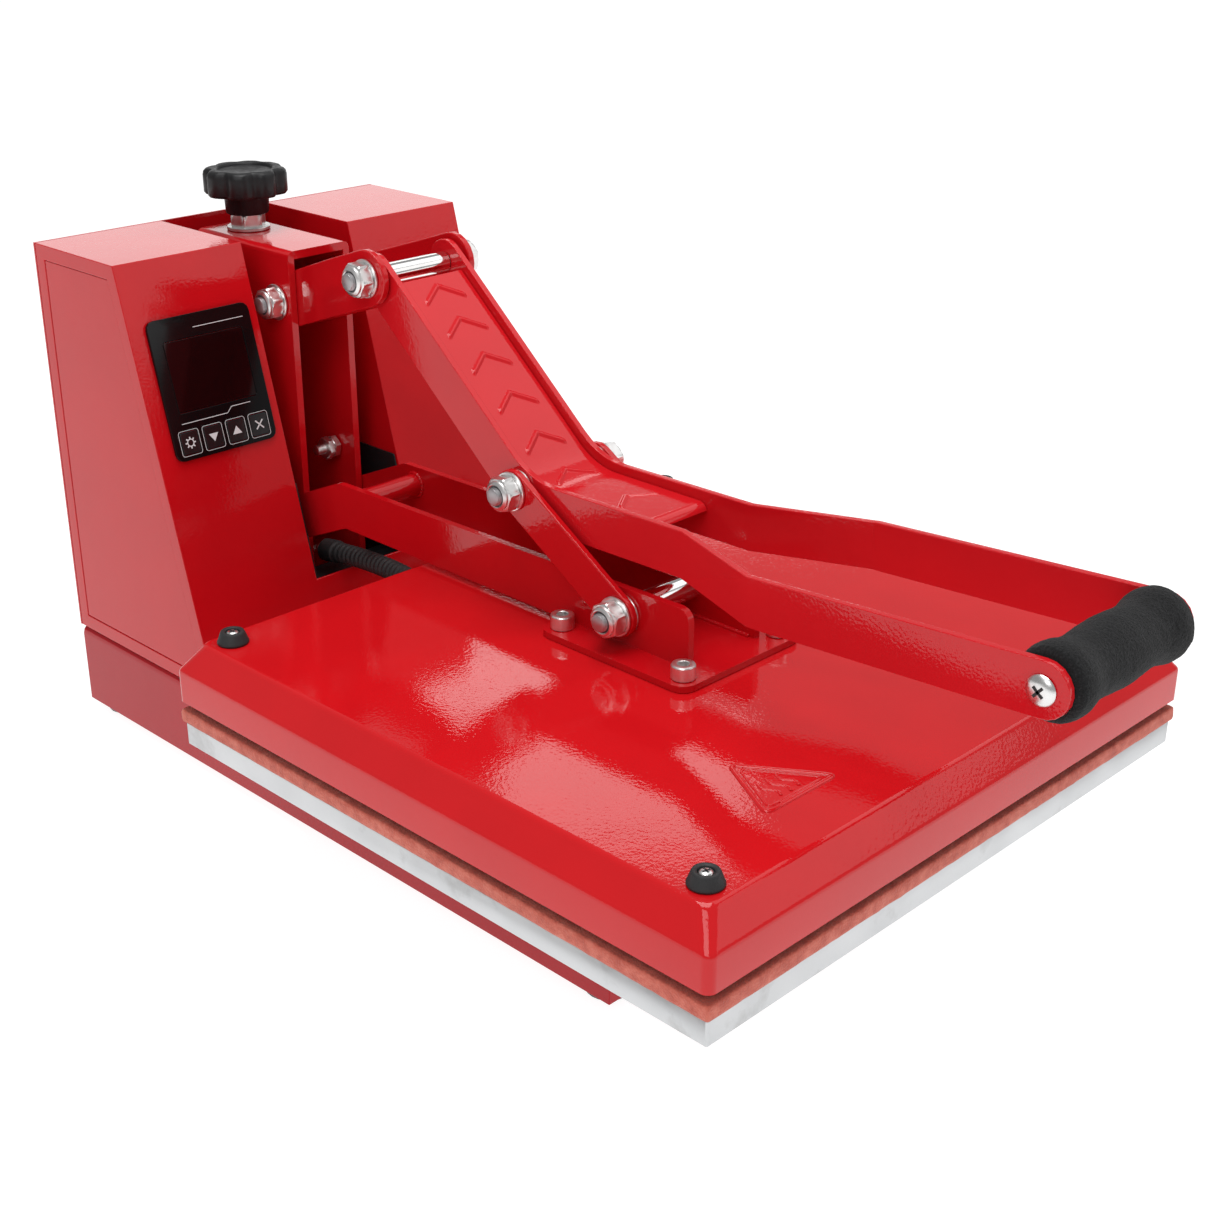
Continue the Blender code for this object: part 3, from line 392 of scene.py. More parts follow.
def nut(bm, collar, shank, centre, sign, start, turn):
    """Hexagon nut with a locking collar and the end of the bolt standing out of it."""
    f = HALF_FLATS
    s = lambda d: sign * (start + d)
    rings = [(s(0), 8.6), (s(0.15), 9.1), (s(0.9), 10.5, f), (s(6.6), 10.5, f), (s(7.4), 9.6, f),
             (s(7.7), 9.0, f), (s(7.9), 8.3), (s(9.0), 8.1), (s(9.7), 7.3), (s(10.0), 6.4),
             (s(9.7), 5.9), (s(9.0), 5.7)]
    turned("x", centre, rings, 72, bm, turn)
    turned("x", centre, [(s(9.05), 5.7), (s(9.3), 5.2)], 40, collar)
    thread = [(s(7), 4.9)]
    for i in range(6):
        thread += [(s(8.6 + i * 0.55), 5.0), (s(8.85 + i * 0.55), 4.65)]
    turned("x", centre, thread + [(s(11.9), 4.6), (s(12.3), 3.9)], 32, shank)


def head(bm, centre, sign, start, turn):
    """Hexagon bolt head with a dished end."""
    f = HALF_FLATS
    s = lambda d: sign * (start + d)
    rings = [(s(0), 8.8), (s(0.3), 10.5, f), (s(6.2), 10.5, f), (s(7.0), 9.7, f), (s(7.4), 8.9, f),
             (s(7.5), 8.1), (s(7.1), 7.4), (s(7.1), 0)]
    turned("x", centre, rings, 72, bm, turn)


def bolt(name, centre, body, node, faces, left=True, right=True, turns=(0.3, 0.7), inner=0.0):
    """A bolt along X: washers between the faces, a nut on its left end and a head on its right."""
    bm, collar, rod = bmesh.new(), bmesh.new(), bmesh.new()
    end = faces[-1][1]
    for sign, wanted in ((-1, left), (1, right)):
        if wanted:
            for lo, hi in faces:
                washer(bm, centre, sign * lo, sign * hi)
    lo = -(end + 2) if left else inner
    hi = end + 2 if right else -inner
    turned("x", centre, [(lo, 5.0), (hi, 5.0)], 32, rod)
    if left:
        nut(bm, collar, rod, centre, -1, end, turns[0])
    if right:
        head(bm, centre, 1, end, turns[1])
    new(name, bm, ZINC, body, (node,), 30)
    new(name + "_shank", rod, THREAD, body, (), 30)
    if left:
        new(name + "_collar", collar, NYLON, body)
    else:
        collar.free()


def tube(axis, centre, lo, hi, outer, inner):
    """A spacer tube with its outer ends eased."""
    c, steps = 0.4, 48
    bm = bmesh.new()
    loops = []
    for depth, r in ((lo, inner), (lo, outer - c), (lo + c, outer),
                     (hi - c, outer), (hi, outer - c), (hi, inner)):
        loops.append([bm.verts.new(point(axis, depth, *around(centre, r, 2 * math.pi * i / steps)))
                      for i in range(steps)])
    for low, high in zip(loops, loops[1:] + loops[:1]):
        join(bm, low, high)
    return bm


def rounded_square(half, radius, steps=10):
    points = []
    for k, (sx, sy) in enumerate(((1, 1), (-1, 1), (-1, -1), (1, -1))):
        for i in range(steps + 1):
            a = math.pi / 2 * (k + i / steps)
            points.append(around((sx * (half - radius), sy * (half - radius)), radius, a))
    return points


def sweep(path, radius, steps=12, bm=None, flat=1.0):
    """A closed round ridge along a 3-D path of Vectors; ends are closed."""
    bm = bm or bmesh.new()
    loops = []
    for i, p in enumerate(path):
        along = (path[min(i + 1, len(path) - 1)] - path[max(i - 1, 0)]).normalized()
        side = along.cross(Vector((0, 0, 1)))
        if side.length < 0.2:
            side = along.cross(Vector((1, 0, 0)))
        side.normalize()
        up = side.cross(along).normalized()
        r = radius[i] if isinstance(radius, list) else radius
        turns = [2 * math.pi * k / steps for k in range(steps)]
        loops.append([bm.verts.new(p + side * r * math.cos(t) + up * r * flat * math.sin(t)) for t in turns])
    solid(bm, loops)
    return bm


# ---------------------------------------------------------------- sheet metal from the frame

for node, mat, width in (("base_shell", SHADED_BASE_PAINT, 0.45), ("housing_shell", PAINT, 0.45),
                         ("side_panel_left", PAINT, 0.3), ("side_panel_right", PAINT, 0.3),
                         ("rear_cover", PAINT, 0.3), ("platen_stand", PAINT, 0.3)):
    refined(node, mat, width)
for node, width in (("post", 0.9), ("short_bracket", 0.9), ("platen_carrier", 0.8),
                    ("link_left", 0.9), ("link_right", 0.9),
                    ("lever_plate_left", 0.9), ("lever_plate_right", 0.9)):
    refined(node, PAINT_LEVER if "lever" in node else PAINT, width, 3)
refined("lower_platen", ALU, 0.9, 3)
for node, mat, slot in (("heat_plate", ALU_DARK, "cast_aluminium"),
                        ("relay_heat_sink", ALU_DARK, "cast_aluminium"),
                        ("insulation_blanket", WOOL, "insulation"),
                        ("controller_board", BOARD, "circuit_board"),
                        ("lever_cross_bolt", ZINC, "zinc_plate"),
                        ("pressure_screw", STEEL, "zinc_plate"),
                        ("thrust_pad", ZINC, "zinc_plate"),
                        ("power_inlet", PLASTIC, "black_plastic"),
                        ("switch_bezel", PLASTIC, "black_plastic"),
                        ("power_rocker", PLASTIC, "black_plastic"),
                        ("fuse_holder", PLASTIC, "black_plastic"),
                        ("foot_front_left", RUBBER, "black_rubber"),
                        ("foot_front_right", RUBBER, "black_rubber"),
                        ("foot_rear_left", RUBBER, "black_rubber"),
                        ("foot_rear_right", RUBBER, "black_rubber")):
    refined(node, mat, 0.35)


# ---------------------------------------------------------------- upper platen

def cover():
    """Pressed cover: skirt, soft shoulder, sloping chamfer and soft top edge."""
    levels = [(190.6, 104.2, 3.6), (190.6, 103.5, 3.7), (191.2, 103.4, 4.4), (192, 104.0, 5),
              (192, 120.9, 5), (191.9, 122.0, 5), (191.5, 123.0, 5.2), (190.8, 124.0, 5.5),
              (182.7, 135.9, 7), (182.0, 136.9, 7.2), (181.0, 137.6, 7.4), (179.6, 138, 7.6)]
    bm = bmesh.new()
    loops = [[bm.verts.new((a, b, z)) for a, b in rounded_square(half, r)] for half, z, r in levels]
    for low, high in zip(loops, loops[1:]):
        join(bm, low, high)
    bm.faces.new(loops[-1])
    last = loops[0]
    for half, z, r in ((190.5, 122, 3.5), (179.5, 135.9, 5.5)):
        loop = [bm.verts.new((a, b, z)) for a, b in rounded_square(half, r)]
        join(bm, last, loop)
        last = loop
    bm.faces.new(last)
    new("platen_cover_shell", bm, PAINT_FLAT, "upper_platen", ("platen_cover",), 60, True)


def line_ridge(bm, points, radius, z, closed=False):
    path = [Vector((x, y, z)) for x, y in points]
    if closed:
        path += [path[0].copy()]
    fine = []
    for p, q in zip(path, path[1:]):
        fine += [p.lerp(q, k / 6) for k in range(6)]
    sweep(fine + [path[-1]], radius, 10, bm, 0.55)


def emblem():
    """A plain hot-surface triangle pressed into the cover: outline and three heat waves."""
    bm = bmesh.new()
    tri = [Vector((-85, -109)), Vector((-57.5, -150)), Vector((-107, -149.5))]
    mid = sum(tri, Vector((0, 0))) / 3
    for scale, radius in ((1.0, 1.5), (0.80, 0.7)):
        corners = []
        for i in range(3):
            p = mid + (tri[i] - mid) * scale
            a = (mid + (tri[i - 1] - mid) * scale - p).normalized()
            b = (mid + (tri[(i + 1) % 3] - mid) * scale - p).normalized()
            for t in (0.0, 0.25, 0.5, 0.75, 1.0):
                q = p + (a * (1 - t) ** 2 + b * t * t) * 4.5
                corners.append((q.x, q.y))
        line_ridge(bm, corners, radius, 138.05, True)
    for k in (-1, 0, 1):
        wave = []
        for i in range(13):
            t = i / 12
            across = k * 6.5 + 1.7 * math.sin(t * 2 * math.pi)
            wave.append((mid.x + across, mid.y - 8.5 + 15 * t + 1.5 * abs(k) * (0.5 - t)))
        line_ridge(bm, wave, 0.95, 138.0)
    line_ridge(bm, [(mid.x - 12, mid.y - 11.5), (mid.x + 12, mid.y - 11.5)], 0.9, 138.0)
    new("cover_emblem", bm, PAINT_FLAT, "upper_platen")


def bumpers():
    """Rubber bumpers at the cover's corners, each held by a screw in its dish."""
    z = 138.3
    for name, sx, sy in zip(CORNERS, (-1, 1, -1, 1), (1, 1, -1, -1)):
        at = (sx * 169, sy * 169)
        rings = [(z, 8.3), (z + 0.3, 8.5), (z + 1.0, 8.5), (z + 1.5, 8.2), (z + 5.6, 6.7), (z + 6.5, 6.2),
                 (z + 6.8, 5.6), (z + 6.7, 4.6), (z + 6.2, 4.0), (z + 4.2, 3.8), (z + 4.0, 0)]
        rubber = turned("z", at, rings, 48)
        new("bumper_rubber_" + name, rubber, RUBBER, "upper_platen", ("bumper_" + name,))
        rings = [(z + 4.0, 3.7), (z + 5.2, 3.6), (z + 5.9, 3.1), (z + 6.4, 2.2), (z + 6.5, 0)]
        screw = turned("z", at, rings, 40)
        new("bumper_screw_" + name, screw, STEEL, "upper_platen")
        # Painted shade: a dark cross where the screw's recess is.
        mark = painted_recess_shade("z", at, z + 5.9, z + 6.56, 2.0, bmesh.new(), 0.3 + sx * 0.4 + sy * 0.2)
        new("bumper_shade_cross_" + name, mark, RUBBER, "upper_platen")


def socket_screws():
    """Socket-head screws that hold the carrier to the cover."""
    z = 142.2
    for name, at in zip(CORNERS, SCREW_SPOTS):
        rings = [(118, 3.9), (z, 3.9), (z, 6.1), (z + 0.3, 6.5), (z + 7.2, 6.5), (z + 7.8, 6.1),
                 (z + 8, 5.6), (z + 8, 3.6), (z + 7.6, 3.4, 3.0), (z + 4, 3.4, 3.0), (z + 3.6, 0)]
        bm = turned("z", at, rings, 72)
        new("socket_screw_" + name, bm, ZINC, "upper_platen", ("carrier_screw_" + name,), 30)


def pad():
    """Open-pored silicone sheet, slightly uneven at its edge."""
    half, z0, z1 = 191.9, 90.5, 98.7
    levels = [(half - 1.2, z0 + 0.05), (half - 0.2, z0 + 0.8), (half, z0 + 2.4),
              (half, z1 - 2.4), (half - 0.3, z1 - 0.8), (half - 1.3, z1)]
    bm = bmesh.new()
    loops = []
    for reach, z in levels:
        loop = []
        ring = rounded_square(reach, 1.6, 4)
        for i, (x, y) in enumerate(ring):
            nx, ny = ring[(i + 1) % len(ring)]
            steps = 90 if math.hypot(nx - x, ny - y) > 50 else 1
            for j in range(steps):
                t = j / steps
                p = Vector((x + (nx - x) * t, y + (ny - y) * t, z))
                n = noise.noise(p * 0.11) * 0.45 + noise.noise(p * 0.6) * 0.3
                out = Vector((p.x, p.y, 0)).normalized()
                loop.append(bm.verts.new(p - out * max(0.0, 0.35 + n)))
        loops.append(loop)
    solid(bm, loops)
    ob = new("silicone_sheet", bm, PAD, "base", ("silicone_pad",), 60, True)


cover()
emblem()
bumpers()
socket_screws()
pad()


def weld(name, body, path, radius):
    """A bead of overlapping ripples."""
    fine, radii = [], []
    for p, q in zip(path, path[1:]):
        n = max(2, int((q - p).length / 0.5))
        for k in range(n):
            fine.append(p.lerp(q, k / n))
            radii.append(radius * (0.86 + 0.16 * abs(math.sin(len(fine) * 0.55))))
    new(name, sweep(fine, radii, 12), PAINT, body, (), 60)


def ring_path(x, centre, r):
    angles = [math.radians(360.0 * i / 40) for i in range(41)]
    return [Vector((x, *around(centre, r, a))) for a in angles]


for side in (-1, 1):
    tag = "left" if side < 0 else "right"
    weld("rung_weld_" + tag, "upper_platen", ring_path(side * 24.0, (247, 158), 7.2), 1.4)
    foot = [Vector((side * 24.1, y, 142.3)) for y in (-28, 58)]
    weld("ear_weld_" + tag, "upper_platen", foot, 1.5)


# ---------------------------------------------------------------- fasteners

# Each pair is the inner and outer face of a washer, as distances from the middle.
bolt("ear_bolt_set", B, "upper_platen", "ear_bolt", ((28.7, 30.1), (34.7, 36.4)), turns=(0.1, 0.45))
new("ear_spacer_tube", tube("x", B, -23.9, 23.9, 7.5, 5.3),
    CHROME, "upper_platen", ("ear_spacer",))
bolt("link_nut_set", C, "links", "link_nut", ((28.6, 30.1), (34.7, 36.4)),
     right=False, inner=-28.7, turns=(0.35, 0))
bolt("link_head_set", C, "links", "link_bolt_head", ((28.6, 30.1), (34.7, 36.4)),
     left=False, inner=28.7, turns=(0, 0.2))
bolt("pivot_bolt_set", D, "base", "lever_pivot_bolt", ((28.5, 29.5), (34.1, 35.6)), turns=(0.55, 0.1))
new("pivot_spacer_tube", tube("x", D, -23.9, 23.9, 6, 5.3),
    CHROME, "lever", ("lever_spacer",))
bolt("bracket_bolt_set", E, "base", "bracket_bolt", ((23.3, 24.8),), turns=(0.2, 0.5))


def hinge_shaft():
    bm = turned("x", A, [(-38.6, 5.2), (-38.2, 6), (38.2, 6), (38.6, 5.2)], 48)
    for s in (-1, 1):
        washer(bm, A, s * 28.8, s * 30.4)
        rings = [(s * 30.5, 8.8), (s * 30.9, 10.4, HALF_FLATS), (s * 36.6, 10.4, HALF_FLATS),
                 (s * 37.2, 9.2, HALF_FLATS), (s * 37.5, 8.2)]
        turned("x", A, rings, 72, bm, 0.4)
    new("hinge_shaft_set", bm, ZINC, "base", ("hinge_shaft",), 30)


def stop_stud():
    at = (319, 168)
    thread = [(22.6, 3.2), (22.2, 3.5)]
    for i in range(24):
        thread += [(21.8 - i * 0.8, 3.5), (21.4 - i * 0.8, 3.15)]
    bm = turned("x", at, thread + [(2.2, 3.2), (2, 2.8)], 28)
    for outer, inner, turn in ((17.6, 13.0, 0.2), (12.8, 8.4, 0.7)):
        rings = [(outer, 6.2), (outer - 0.5, 7.4, 6.5), (inner + 0.5, 7.4, 6.5), (inner, 6.2)]
        turned("x", at, rings, 60, bm, turn)
    new("stop_stud_set", bm, ZINC, "base", ("stop_stud",), 30)


def post_nut():
    at, z = SCREW_AT, 303.9
    turn = math.radians(12)
    bm = turned("z", at, [(z, 13.2), (z + 0.3, 13.5), (z + 1.7, 13.5), (z + 2, 13.2)], 64)
    f = 11.2 * math.cos(math.pi / 6)
    rings = [(z + 2, 10.4, f), (z + 2.8, 11.2, f), (z + 8.8, 11.2, f), (z + 9.5, 10.3, f), (z + 9.6, 9.6)]
    turned("z", at, rings, 72, bm, turn)
    new("post_nut_set", bm, ZINC, "base", ("post_nut",), 30)


def knob():
    """Fluted knob, from rings of height, radius and depth of the flutes."""
    at, hub, flutes, steps = SCREW_AT, 313.9, 8, 160
    top = hub + 28
    lobe = top - 16.5
    levels = [(hub + 4, 0, 0), (hub + 4, 6.3, 0), (hub, 6.3, 0), (hub, 12.8, 0), (hub + 0.6, 13.4, 0),
              (lobe - 1.5, 13.9, 0), (lobe - 0.4, 14.6, 0), (lobe, 16.5, 0.2), (lobe + 0.1, 22.6, 2.6),
              (lobe + 0.6, 24.9, 3.3), (lobe + 2.0, 26, 3.6), (top - 4.2, 26, 3.6), (top - 2.0, 25.5, 3.5),
              (top - 0.7, 24.3, 3.1), (top - 0.05, 22.4, 2.2), (top, 21.0, 1.2), (top - 0.1, 18.3, 0.2),
              (top - 0.5, 17.3, 0), (top - 1.6, 16.9, 0), (top - 1.8, 16.2, 0), (top - 1.5, 14.6, 0),
              (top - 1.7, 12.5, 0), (top - 2.3, 7, 0), (top - 2.5, 0, 0)]
    bm = bmesh.new()
    loops = []
    for z, r, depth in levels:
        if r == 0:
            loops.append([bm.verts.new((*at, z))])
            continue
        loop = []
        for i in range(steps):
            a = 2 * math.pi * i / steps
            wave = 0.5 - 0.5 * math.cos(flutes * a)
            reach = r - depth * wave ** 2.2
            loop.append(bm.verts.new((*around(at, reach, a), z)))
        loops.append(loop)
    solid(bm, loops)
    new("pressure_knob", bm, PLASTIC, "knob_and_screw", ("knob",), 50)


hinge_shaft()
stop_stud()
post_nut()
knob()


# ---------------------------------------------------------------- lever web and grip

def web_path():
    """The web's mid line from its rolled front lip, along the flat and up the bend to the pivot."""
    t = math.radians(40.3)
    upper = Vector(D) + Vector((-math.sin(t), math.cos(t))) * 8.8 - Vector((math.cos(t), math.sin(t))) * 13.5
    flat, r = 210.4, 46.0
    knee = upper.x - (upper.y - flat) / math.tan(t)
    start = knee - r * math.tan(t / 2)
    points = [Vector(around((9, 204.4), 6, math.radians(a))) for a in range(165, 90, -8)]
    points += [Vector((9 + (start - 9) * i / 30, flat)) for i in range(31)]
    bend = [t * i / 16 for i in range(1, 17)]
    points += [Vector((start + r * math.sin(a), flat + r - r * math.cos(a))) for a in bend]
    return points + [points[-1].lerp(upper, i / 60) for i in range(1, 61)]


def resample(points, step):
    """The same path with points an even step apart."""
    out, left = [points[0].copy()], step
    for p, q in zip(points, points[1:]):
        length = (q - p).length
        done = 0.0
        while length - done >= left:
            done += left
            out.append(p.lerp(q, done / length))
            left = step
        left -= length - done
    return out


def chevron(s, x):
    """Height of the raised chevrons at arc length s and width x."""
    reach = 14.8
    best = 0.0
    for apex in (39.3, 86.7, 114.2, 142.5, 170.2, 196.1, 220.0):
        if abs(x) > reach:
            continue
        d = abs(s - (apex - 0.70 * abs(x)))
        ends = min(1.0, reach - abs(x))
        best = max(best, ends * max(0.0, 1 - (d / 2.0) ** 2))
    return best


def lever_web():
    """The pressed web, 2 mm thick, with its chevrons and eased edges."""
    step, half = 0.6, 23.9
    path = resample(web_path(), step)
    xs = [-half + 2 * half * i / 80 for i in range(81)]
    bm = bmesh.new()
    top, low = [], []
    for k, p in enumerate(path):
        along = (path[min(k + 1, len(path) - 1)] - path[max(k - 1, 0)]).normalized()
        n = Vector((-along.y, along.x))
        if n.y < 0 and k > 3:
            n = -n
        row_top, row_low = [], []
        for x in xs:
            edge = min(1.0, (half - abs(x)) / 1.6)
            h = chevron(k * step, x) - 0.5 * (1 - edge) ** 2
            a, b = p + n * h, p - n * 2
            row_top.append(bm.verts.new((x, a.x, a.y)))
            row_low.append(bm.verts.new((x, b.x, b.y)))
        top.append(row_top)
        low.append(row_low)
    for k in range(len(path) - 1):
        for i in range(len(xs) - 1):
            bm.faces.new((top[k][i], top[k][i + 1], top[k + 1][i + 1], top[k + 1][i]))
            bm.faces.new((low[k][i], low[k + 1][i], low[k + 1][i + 1], low[k][i + 1]))
    for k in range(len(path) - 1):
        for i in (0, -1):
            bm.faces.new((top[k][i], top[k + 1][i], low[k + 1][i], low[k][i]))
    for i in range(len(xs) - 1):
        for k in (0, -1):
            bm.faces.new((top[k][i], top[k][i + 1], low[k][i + 1], low[k][i]))
    new("lever_web_pressed", bm, PAINT_LEVER, "lever", ("lever_web",), 70)


def grip():
    """Foam sleeve swollen at its ends and middle, on a bar with a cross-head screw at each end."""
    inside, end, f = 47.4, 46.7, 52.0
    rings, steps = 150, 110
    bm = bmesh.new()
    loops = []
    for i in range(rings + 1):
        t = i / rings - 0.5
        x = 2 * end * t
        r = 15.2 + 1.4 * math.exp(-(t / 0.17) ** 2) + 2.8 * math.exp(-((abs(t) - 0.42) / 0.10) ** 2)
        lip = max(0.0, 1 - (end - abs(x)) / 2.4)
        r -= 2.6 * lip * lip
        loop = []
        for k in range(steps):
            a = 2 * math.pi * k / steps
            p = Vector((x, math.cos(a) * r, math.sin(a) * r))
            q = r + 0.16 * noise.noise(p * 0.9) + 0.25 * noise.noise(p * 0.18)
            loop.append(bm.verts.new((x, *around(GRIP, q, a))))
        loops.append(loop)
    caps = [[bm.verts.new((sx * end, *around(GRIP, 9.4, 2 * math.pi * k / steps)))
             for k in range(steps)] for sx in (-1, 1)]
    loops = [caps[0], *loops, caps[1]]
    for low, high in zip(loops, loops[1:] + loops[:1]):
        join(bm, low, high)
    ob = new("grip_sleeve", bm, FOAM, "lever", ("grip_foam",), 70)
    bar = turned("x", GRIP, [(-inside, 8.6), (-inside + 0.4, 9.1), (inside - 0.4, 9.1), (inside, 8.6)], 40)
    for s in (-1, 1):
        rings = [(s * (inside - 3), 3), (s * f, 3), (s * f, 6.9), (s * (f + 0.3), 7.2),
                 (s * (f + 1.2), 6.7), (s * (f + 2.2), 5.2), (s * (f + 2.7), 3.6), (s * (f + 2.9), 0)]
        turned("x", GRIP, rings, 48, bar)
    new("grip_bar_and_screws", bar, STEEL, "lever", ("grip_rod",))
    # Painted shade: dark crosses where the screws' recesses are.
    marks = bmesh.new()
    for s in (-1, 1):
        painted_recess_shade("x", GRIP, s * 54.2, s * 54.96, 3.2, marks, 0.7)
    new("grip_screw_shade_crosses", marks, RUBBER, "lever")


lever_web()
grip()


# ---------------------------------------------------------------- controls

def slope(v, n=0.0):
    """The (y, z) of a point v down the towers' leaning front and n out of it."""
    length = math.hypot(LEAN, 1)
    return 322.7 - (v * LEAN + n) / length, 309 - (v - n * LEAN) / length


def slope_solid(bm, outline, n0, n1):
    """A plate on the slanted front from an outline in (x, distance down the slope)."""
    solid(bm, [[bm.verts.new((x, *slope(v, n))) for x, v in outline] for n in (n0, n1)])


def rounded_rect(x0, x1, v0, v1, r, steps=6):
    points = []
    for k, (cx, cv) in enumerate(((x1 - r, v1 - r), (x0 + r, v1 - r), (x0 + r, v0 + r), (x1 - r, v0 + r))):
        points += [around((cx, cv), r, math.pi / 2 * (k + i / steps)) for i in range(steps + 1)]
    return points


def stroke(bm, points, width, n0=2.30, n1=2.42, closed=False):
    """A printed line of constant width on the fascia."""
    path = [Vector(p) for p in points]
    n = len(path)
    left, right = [], []
    for i, p in enumerate(path):
        a = path[i - 1] if (i or closed) else p
        b = path[(i + 1) % n] if (i < n - 1 or closed) else p
        d = (b - a).normalized()
        side = Vector((-d.y, d.x)) * width / 2
        left.append(p + side)
        right.append(p - side)
    for i in range(n if closed else n - 1):
        j = (i + 1) % n
        slope_solid(bm, [left[i], left[j], right[j], right[i]], n0, n1)


def controls():
    """Control panel: its plate, window and keys, with plain printed lines and icons."""
    key_v = 107.4
    refined("fascia", GLOSS, 0.35, 2)
    refined("display_window", WINDOW, 0.2)
    lines = bmesh.new()
    stroke(lines, [(-87, 42.6), (-52, 42.6)], 0.4)
    stroke(lines, [(-109, 96.0), (-77, 96.0), (-73.5, 92.8), (-60, 92.8)], 0.4)
    for x in (-106.2, -89.9, -73.6, -57.3):
        stroke(lines, rounded_rect(x - 6.8, x + 6.8, key_v - 7.4, key_v + 7.4, 1.6, 3), 0.28, closed=True)
    new("fascia_print", lines, PRINT, "base")
    icons = (("key_menu", "menu_button", -106.2), ("key_down", "down_button", -89.9),
             ("key_up", "up_button", -73.6), ("key_clear", "clear_button", -57.3))
    for node, body, x in icons:
        refined(node, KEY, 0.25)
        bm = bmesh.new()
        lo, hi = 2.6, 2.72
        if node == "key_menu":
            rim = [around((x, key_v), 2.1, a * math.pi / 12) for a in range(24)]
            stroke(bm, rim, 0.6, lo, hi, True)
            for k in range(8):
                a = k * math.pi / 4
                stroke(bm, [around((x, key_v), 2.3, a), around((x, key_v), 3.5, a)], 0.8, lo, hi)
        elif node == "key_clear":
            for s in (-1, 1):
                stroke(bm, [(x - 2.6, key_v - 2.6 * s), (x + 2.6, key_v + 2.6 * s)], 0.8, lo, hi)
        else:
            s = 1 if node == "key_down" else -1
            arrow = [(x - 3.2, key_v - 2 * s), (x + 3.2, key_v - 2 * s), (x, key_v + 2.8 * s)]
            slope_solid(bm, arrow, lo, hi)
        new(node + "_icon", bm, PRINT, body)


def conduit():
    """Corrugated heater conduit between the cover and the sill."""
    start, mid, end = Vector((-14, 194.6, 114)), Vector((-14, 232, 121)), Vector((-14, 292, 112))
    path, radii = [], []
    n = 260
    for i in range(n + 1):
        t = i / n
        path.append(start * (1 - t) ** 2 + mid * 2 * t * (1 - t) + end * t * t)
        if t < 0.1 or t > 0.9:
            radii.append(7.3)
        else:
            radii.append(5.7 + 0.8 * (0.5 + 0.5 * math.sin(i * 0.62)))
    ob = new("conduit_sleeve", sweep(path, radii, 28), RUBBER, None, ("heater_conduit",), 60)
    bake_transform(ob)


def black_plate(name, loops, soft):
    bm = bmesh.new()
    solid(bm, [[bm.verts.new(p) for p in loop] for loop in loops])
    bmesh.ops.bevel(bm, geom=bm.edges[:], offset=soft, segments=2, profile=0.5, affect="EDGES")
    new(name, bm, PLASTIC, "base")


def painted_shade_well():
    """Painted shade: thin black plates in the gap behind the sill, one on each tower's inner wall and one
    across it, standing in for the deep shade there.
    """
    sill, sill_top, low, high, back = 266.75, 100, 72, 165, 337.6
    outline = [(sill + 1.5 + LEAN * (low - sill_top), low), (back, low),
               (back, high), (sill + 1.5 + LEAN * (high - sill_top), high)]
    for side, tag in ((-1, "left"), (1, "right")):
        walls = [[(side * x, y, z) for y, z in outline] for x in (39.6, 38.4)]
        black_plate("painted_shade_wall_" + tag, walls, 0.4)
    outline = [(-38, sill + 4), (38, sill + 4), (38, 299.5), (-38, 299.5)]
    black_plate("painted_shade_across", [[(x, y, z) for x, y in outline] for z in (97.5, 99.5)], 0.5)


controls()
conduit()
# Black plates that paint the deep shade behind the sill.
painted_shade_well()


# ---------------------------------------------------------------- floor, light, camera

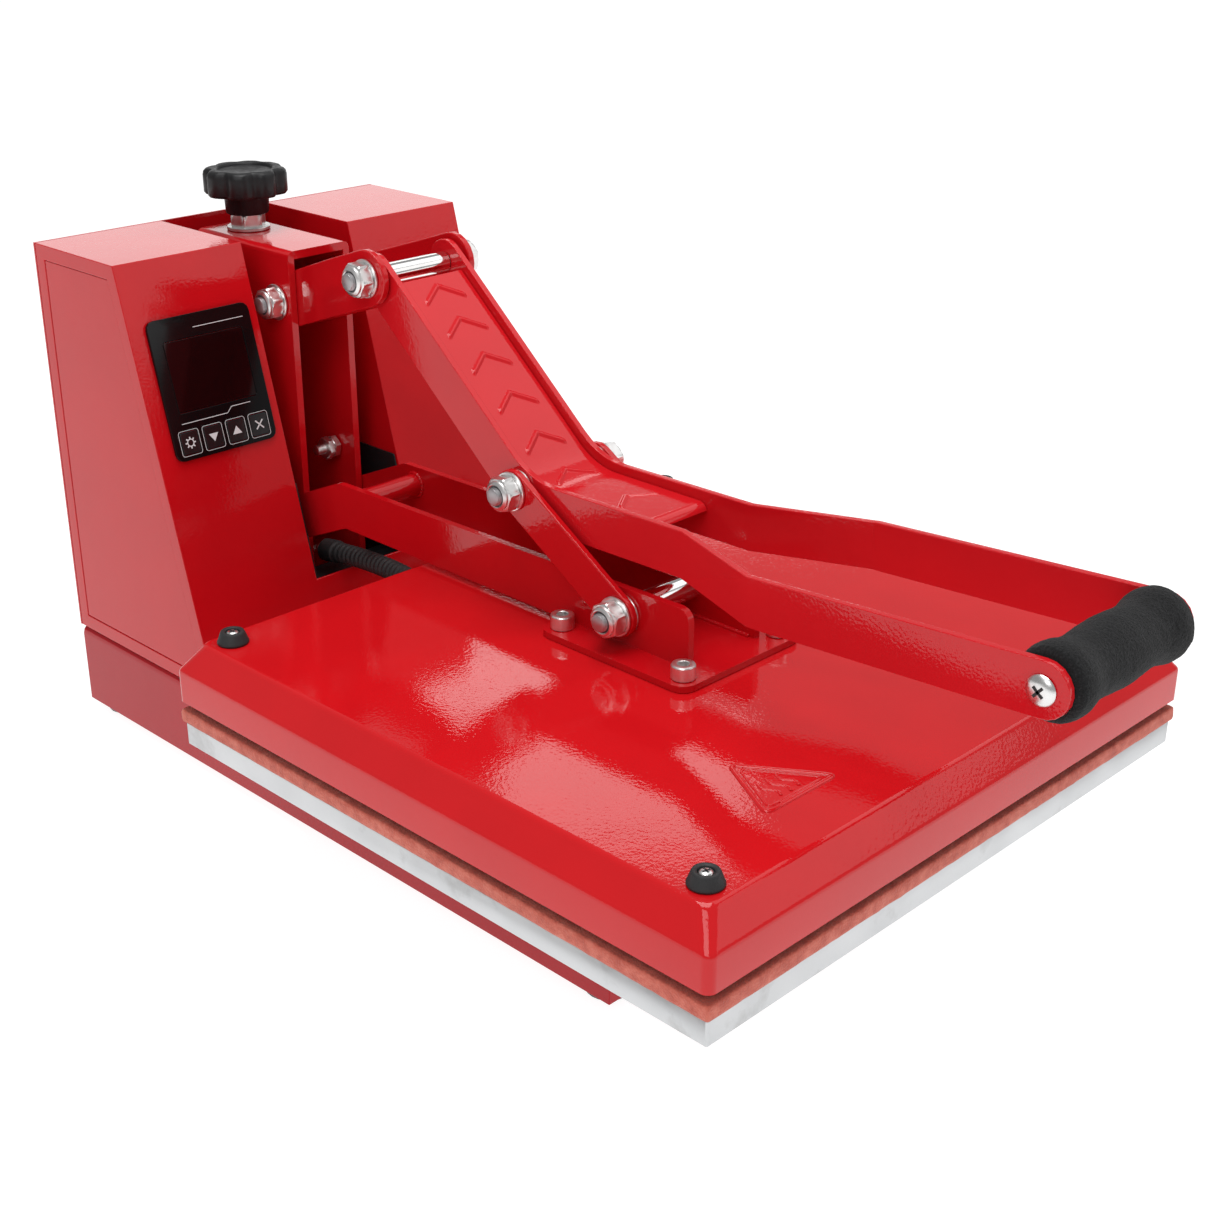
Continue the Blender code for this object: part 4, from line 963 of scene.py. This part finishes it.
def stage():
    """White floor that the camera sees around the press."""
    floor = bmesh.new()
    bmesh.ops.create_grid(floor, x_segments=1, y_segments=1, size=9)
    mesh = bpy.data.meshes.new("floor")
    floor.to_mesh(mesh)
    floor.free()
    m = Mat("floor_white", (0.25, 0.25, 0.25), 0.8, Emission_Color=(1, 1, 1, 1), Emission_Strength=0.92)
    m.rough(m.noise(3, 2), 0.3, 0.7, 0.55, 0.65)
    mesh.materials.append(m.mat)
    ob = bpy.data.objects.new("floor", mesh)
    bpy.context.scene.collection.objects.link(ob)


def softbox(name, at, target, size, power):
    data = bpy.data.lights.new(name, "AREA")
    data.shape = "RECTANGLE"
    data.size, data.size_y = size
    data.energy = power
    ob = bpy.data.objects.new(name, data)
    ob.location = at
    ob.rotation_euler = (Vector(target) - Vector(at)).to_track_quat("-Z", "Y").to_euler()
    bpy.context.scene.collection.objects.link(ob)


def behind(across, height):
    """A place behind the press as the camera sees it, where a light mirrors in its top faces."""
    distance = 2.0
    c, s = math.cos(CAMERA_TURN), math.sin(CAMERA_TURN)
    return s * distance + c * across, c * distance - s * across - ORIGIN_Y * MM, height


stage()
softbox("key", (-1.5, -0.9, 1.7), (0, 0, 0.12), (1.1, 0.9), 10)
softbox("fill", (1.4, -1.9, 1.3), (0, 0, 0.12), (1.2, 1.2), 4)
softbox("top", (-0.1, 0.1, 2.2), (0, 0, 0.1), (1.6, 1.2), 27)
softbox("window_left", behind(-0.245, 1.14), (0, 0, 0.14), (0.25, 0.17), 0.235)
softbox("window_right", behind(0.0, 1.37), (0, 0, 0.14), (0.46, 0.24), 0.55)
softbox("back_low", behind(-0.25, 0.66), (0, 0, 0.25), (1.8, 0.40), 2.3)
softbox("web_light", (0.96, -0.165, 1.4), (0, 0.075, 0.26), (1.0, 1.0), 3.2)

world = bpy.data.worlds.new("studio")
world.use_nodes = True
world.node_tree.nodes["Background"].inputs["Color"].default_value = (1, 1, 1, 1)
world.node_tree.nodes["Background"].inputs["Strength"].default_value = 0.32
bpy.context.scene.world = world
bpy.context.scene.view_settings.view_transform = "Standard"

camera = bpy.data.cameras.new("camera")
camera.sensor_width = 36
camera.lens = camera.sensor_width * FOCAL
camera.shift_x = 0.0072
camera.clip_start = 0.05
view = bpy.data.objects.new("camera", camera)
view.location = (-0.6588, -0.5915 - ORIGIN_Y * MM, 0.5495)
view.rotation_euler = (math.pi / 2 - CAMERA_TILT, 0, -CAMERA_TURN)
bpy.context.scene.collection.objects.link(view)
bpy.context.scene.camera = view
